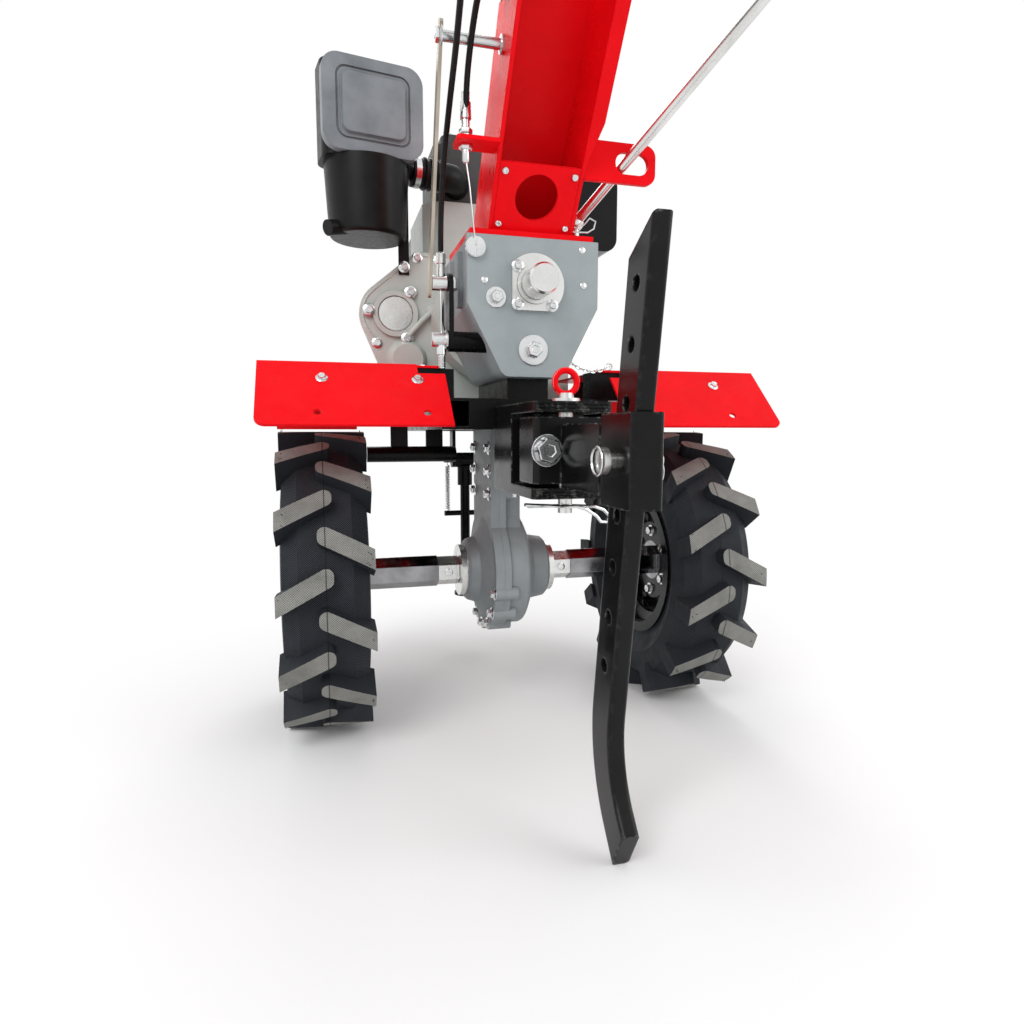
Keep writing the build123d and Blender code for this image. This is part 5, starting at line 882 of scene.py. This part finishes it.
CLIP_Z = 330
PIN_CLIP = (
    (-44, -278, 0),
    (0, -278, 0),
    (36, -278, -2),
    (47, -279, -6),
    (53, -281, -13),
    (49, -284, -20),
    (41, -286, -19),
    (35, -287, -12),
    (22, -289, -4),
    (10, -290, 0),
    (-8, -290, 0),
    (-22, -285, 1),
    (-40, -284, 2),
    (-50, -287, 3),
)
clip = bmesh.new()
sweep(clip, [at(x, y, CLIP_Z + above) for x, y, above in PIN_CLIP], 1.9, 8)
piece("hitch_clip", clip, ZINC, "chassis")

eye = bmesh.new()
sweep(eye, ring_points(at(0, -278, 468), RIGHT, UP, 13, 36), 3.7, 10, closed=True)
piece("pin_eye_sleeve", eye, RED, "chassis")

STOP_Z = 393
PIN_Y = -449
SPLIT_PINS = (
    ((26.5, PIN_Y, 398), (26.5, PIN_Y, 375), (29, -452, 369)),
    ((-26, -458, 394), (-26, PIN_Y, 387), (-26, -440, 379)),
)
stops = bmesh.new()
for x in (-32, 32):
    washer(stops, at(x, -309, STOP_Z), BACK, 17.5, 2.2)
    hexagon(stops, at(x, -310, STOP_Z), BACK, 14.6, 10.6)
sweep(stops, ring_points(at(-32, PIN_Y, 387), FRONT, UP, 12.5, 26), 1.2, 6, closed=True)
sweep(stops, ring_points(at(26.5, PIN_Y, 377), FRONT, UP, 11, 24), 1.2, 6, closed=True)
for route in SPLIT_PINS:
    sweep(stops, [at(*place) for place in route], 1.3, 6)
piece("hitch_fasteners", stops, ZINC, "draw")

CHAIN_START = at(49, -152, 505)
CHAIN_END = at(113, -136, 501)
LINKS = 11
LINK_HALF_L = 4.3
LINK_HALF_W = 2.4
LINK_STEPS = 16
CHAIN_SAG = 9
CHAIN_SLOPE = 28
chain = bmesh.new()
for step in range(LINKS):
    share = (step + 0.5) / LINKS
    middle = CHAIN_START.lerp(CHAIN_END, share) + DOWN * CHAIN_SAG * MM * math.sin(math.pi * share)
    slope = DOWN * CHAIN_SLOPE * MM * math.cos(math.pi * share)
    heading = (CHAIN_END - CHAIN_START + slope).normalized()
    level = heading.cross(UP).normalized()
    side = level if step % 2 else heading.cross(level)
    oval = []
    for corner in range(LINK_STEPS):
        angle = 2 * math.pi * corner / LINK_STEPS
        lengthwise = heading * LINK_HALF_L * MM * math.cos(angle)
        oval.append(middle + lengthwise + side * LINK_HALF_W * MM * math.sin(angle))
    sweep(chain, oval, 0.8, 5, closed=True)
for end in (CHAIN_START, CHAIN_END):
    sweep(chain, ring_points(end, RIGHT, UP, 4, 14), 1.2, 6, closed=True)
piece("pin_chain", chain, STEEL, "chassis")

# Fenders: flange bolts in the upper holes of the rear flaps, and along the inner edges on top

FLAP_OUT = Vector((0, -1, 1)).normalized()
fenders = bmesh.new()
for side in (-1, 1):
    for x in (262, 148):
        flange_bolt(fenders, at(x * side, -151.2, 476.8), FLAP_OUT, 4.8)
    for y in (-60, 40, 120):
        flange_bolt(fenders, at(128 * side, y, 498), UP, 5.6)
piece("fender_bolts", fenders, ZINC, "chassis")

# Stand: return springs as coils whose ends turn in to short straight legs on the centre line

SPRING_Y = 290
SPRING_LOW = 268
SPRING_HIGH = 350
SPRING_R = 4.0
SPRING_TURNS = 26
STEPS_PER_TURN = 12
SPRING_STEPS = SPRING_TURNS * STEPS_PER_TURN
coils = bmesh.new()
for x in (-34, 34):
    wire = [at(x, SPRING_Y, 260), at(x, SPRING_Y, SPRING_LOW - 3)]
    for step in range(SPRING_STEPS + 1):
        angle = 2 * math.pi * step / STEPS_PER_TURN
        z = SPRING_LOW + (SPRING_HIGH - SPRING_LOW) * step / SPRING_STEPS
        wire.append(at(x + SPRING_R * math.cos(angle), SPRING_Y + SPRING_R * math.sin(angle), z))
    wire += [at(x, SPRING_Y, SPRING_HIGH + 3), at(x, SPRING_Y, 357)]
    sweep(coils, wire, 1.1, 6)
springs = piece("stand_coils", coils, STEEL, "stand")
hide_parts("stand_springs")

# Tyres: short rubber hairs that the mould's vents leave near the outer ends of the lugs

HAIR_TRIES = 150
HAIR_LEAN = 0.6
LUG_END = (46, 54)
rng = random.Random(7)
for name, side in (("left", -1), ("right", 1)):
    skin = skin_of(nodes["tyre_" + name])
    hairs = bmesh.new()
    for step in range(HAIR_TRIES):
        angle = math.radians(rng.uniform(-60, 240))
        out = Vector((0, math.cos(angle), math.sin(angle)))
        x = 264 * side + rng.choice((-1, 1)) * rng.uniform(*LUG_END)
        slant = RIGHT * rng.uniform(-HAIR_LEAN, HAIR_LEAN)
        slant = slant + out.cross(RIGHT) * rng.uniform(-HAIR_LEAN, HAIR_LEAN)
        length = rng.uniform(2.5, 5.0)
        centre = at(x, 0, AXLE_Z)
        spot = skin.ray_cast(centre + out * 0.25, -out)[0]
        if spot is None or (spot - centre).length < LUG_FACE_R:
            continue
        rows = ((0.45, -1), (0.4, length * 0.6), (0.12, length), (0, length + 0.3))
        turn(hairs, spot, out + slant, rows, 5)
    piece("tyre_hairs_" + name, hairs, TYRE, "axle")

# Control cables, with the straps that hold them to the handle tubes

TUBE_STRETCH = ((300, -770, 979), (292, -690, 971), (252, -608, 962), (203, -531, 949), (154, -454, 930))
CABLE_R = 3.5
CABLES = {
    "left": (
        (-300, -845.9, 986.1),
        *((-x, y, z) for x, y, z in TUBE_STRETCH),
        (-128, -378, 901),
        (-119, -313, 868),
        (-114, -250, 829),
        (-112, -190, 786),
        (-112, -142, 735),
        (-112, -118, 669),
        (-112, -118, 609.3),
    ),
    "right": (
        (300, -845.9, 986.1),
        *TUBE_STRETCH,
        (98, -412, 910),
        (25, -398, 899),
        (-48, -384, 893),
        (-88, -336, 884),
        (-96, -278, 866),
        (-95, -226, 836),
        (-93.5, -190, 796),
        (-93.5, -190, 743),
    ),
}
for name, route in CABLES.items():
    curve = bpy.data.curves.new("cable_run_" + name, "CURVE")
    curve.dimensions = "3D"
    curve.bevel_depth = CABLE_R * MM
    curve.bevel_resolution = 4
    curve.resolution_u = 12
    curve.use_fill_caps = True
    line = curve.splines.new("NURBS")
    line.points.add(len(route) - 1)
    for point, place in zip(line.points, route):
        point.co = (*at(*place), 1.0)
    line.order_u = 3
    line.use_endpoint_u = True
    curve.materials.append(SHEATH)
    cable = bpy.data.objects.new("cable_run_" + name, curve)
    bpy.context.scene.collection.objects.link(cable)
    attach(cable, "chassis")
    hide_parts("cable_" + name)

# Straps: (tube centre, cable centre, direction of the tube) on the right, mirrored for the left side
STRAP_HALF_W = 3.0
STRAP_STEPS = 24
TUBE_RUN = Vector((205, -318, 55)).normalized()
STRAPS = (
    ((300, -775, 1003.9), (300, -775, 980), GRIP_DIR),
    ((232, -574.5, 981.8), (230, -573, 957), TUBE_RUN),
    ((165, -470.6, 963.8), (165, -470.6, 937), TUBE_RUN),
)
straps = bmesh.new()
for side in (-1, 1):
    mirror = Vector((side, 1, 1))
    for tube, cable, heading in STRAPS:
        heading = heading * mirror
        first = heading.cross(UP).normalized()
        second = first.cross(heading)
        rims = []
        for centre, radius in ((tube, 18.2), (cable, 5.2)):
            middle = at(centre[0] * side, centre[1], centre[2])
            for shift in (-STRAP_HALF_W, STRAP_HALF_W):
                rim_centre = middle + heading * shift * MM
                for point in ring_points(rim_centre, first, second, radius, STRAP_STEPS):
                    rims.append(straps.verts.new(point))
        bmesh.ops.convex_hull(straps, input=rims)
piece("cable_straps", straps, SHEATH, "chassis")


# Studio: a pale floor that fades into white, soft lamps, and the camera at the photograph's angle


def seen_rays(tree):
    """1 for camera, glossy and transmission rays, 0 for the light that falls on the machine."""
    path = tree.nodes.new("ShaderNodeLightPath")
    seen = calc(tree, "MAXIMUM", path.outputs["Is Camera Ray"], path.outputs["Is Glossy Ray"])
    return calc(tree, "MAXIMUM", seen, path.outputs["Is Transmission Ray"])


FADE_FROM = 0.55
FADE_TO = 1.3
bpy.ops.mesh.primitive_plane_add(size=16.0, location=(0.0, 0.0, -0.0005))
floor = bpy.context.object
floor.name = "floor"
material, tree, shader, coords = new_material("pale_floor")
shader.inputs["Base Color"].default_value = (0.93, 0.93, 0.93, 1.0)
shader.inputs["Roughness"].default_value = 0.8
shader.inputs["Specular IOR Level"].default_value = 0.0
distance = tree.nodes.new("ShaderNodeVectorMath")
distance.operation = "LENGTH"
tree.links.new(coords, distance.inputs[0])
fade = spread(tree, distance.outputs["Value"], 0.0, 1.0, FADE_FROM, FADE_TO)
glow = tree.nodes.new("ShaderNodeEmission")
join = tree.nodes.new("ShaderNodeMixShader")
tree.links.new(calc(tree, "MULTIPLY", fade, seen_rays(tree)), join.inputs[0])
tree.links.new(shader.outputs["BSDF"], join.inputs[1])
tree.links.new(glow.outputs["Emission"], join.inputs[2])
tree.links.new(join.outputs["Shader"], tree.nodes["Material Output"].inputs["Surface"])
floor.data.materials.append(material)

AMBIENT = 0.72
world = bpy.data.worlds.new("studio")
bpy.context.scene.world = world
world.use_nodes = True
tree = world.node_tree
sky = tree.nodes["Background"]
sky.inputs["Color"].default_value = (1.0, 1.0, 1.0, 1.0)
tree.links.new(spread(tree, seen_rays(tree), AMBIENT, 1.0, 0.0, 1.0), sky.inputs["Strength"])

# Lamps: (name, place, size, power in watts), each aimed at the machine's middle
LAMP_AIM = Vector((0.0, 0.1, 0.45))
LAMPS = (
    ("key", (-1.9, -2.2, 2.6), 1.8, 60.0),
    ("fill", (2.4, -1.6, 1.6), 2.0, 30.0),
    ("back", (0.4, 2.8, 2.6), 2.0, 40.0),
)
for name, place, size, power in LAMPS:
    lamp = bpy.data.lights.new(name, "AREA")
    lamp.size = size
    lamp.energy = power
    holder = bpy.data.objects.new(name, lamp)
    holder.location = place
    holder.rotation_euler = (LAMP_AIM - Vector(place)).to_track_quat("-Z", "Y").to_euler()
    bpy.context.scene.collection.objects.link(holder)

CAMERA_YAW = math.radians(15.4)
CAMERA_PITCH = math.radians(6.4)
lens = bpy.data.cameras.new("camera")
lens.sensor_width = 36.0
lens.lens = 24.26
camera = bpy.data.objects.new("camera", lens)
camera.location = at(-265, -1014, 410)
camera.rotation_euler = (math.radians(90) - CAMERA_PITCH, 0.0, -CAMERA_YAW)
bpy.context.scene.collection.objects.link(camera)
bpy.context.scene.camera = camera
bpy.context.scene.view_settings.view_transform = "Standard"
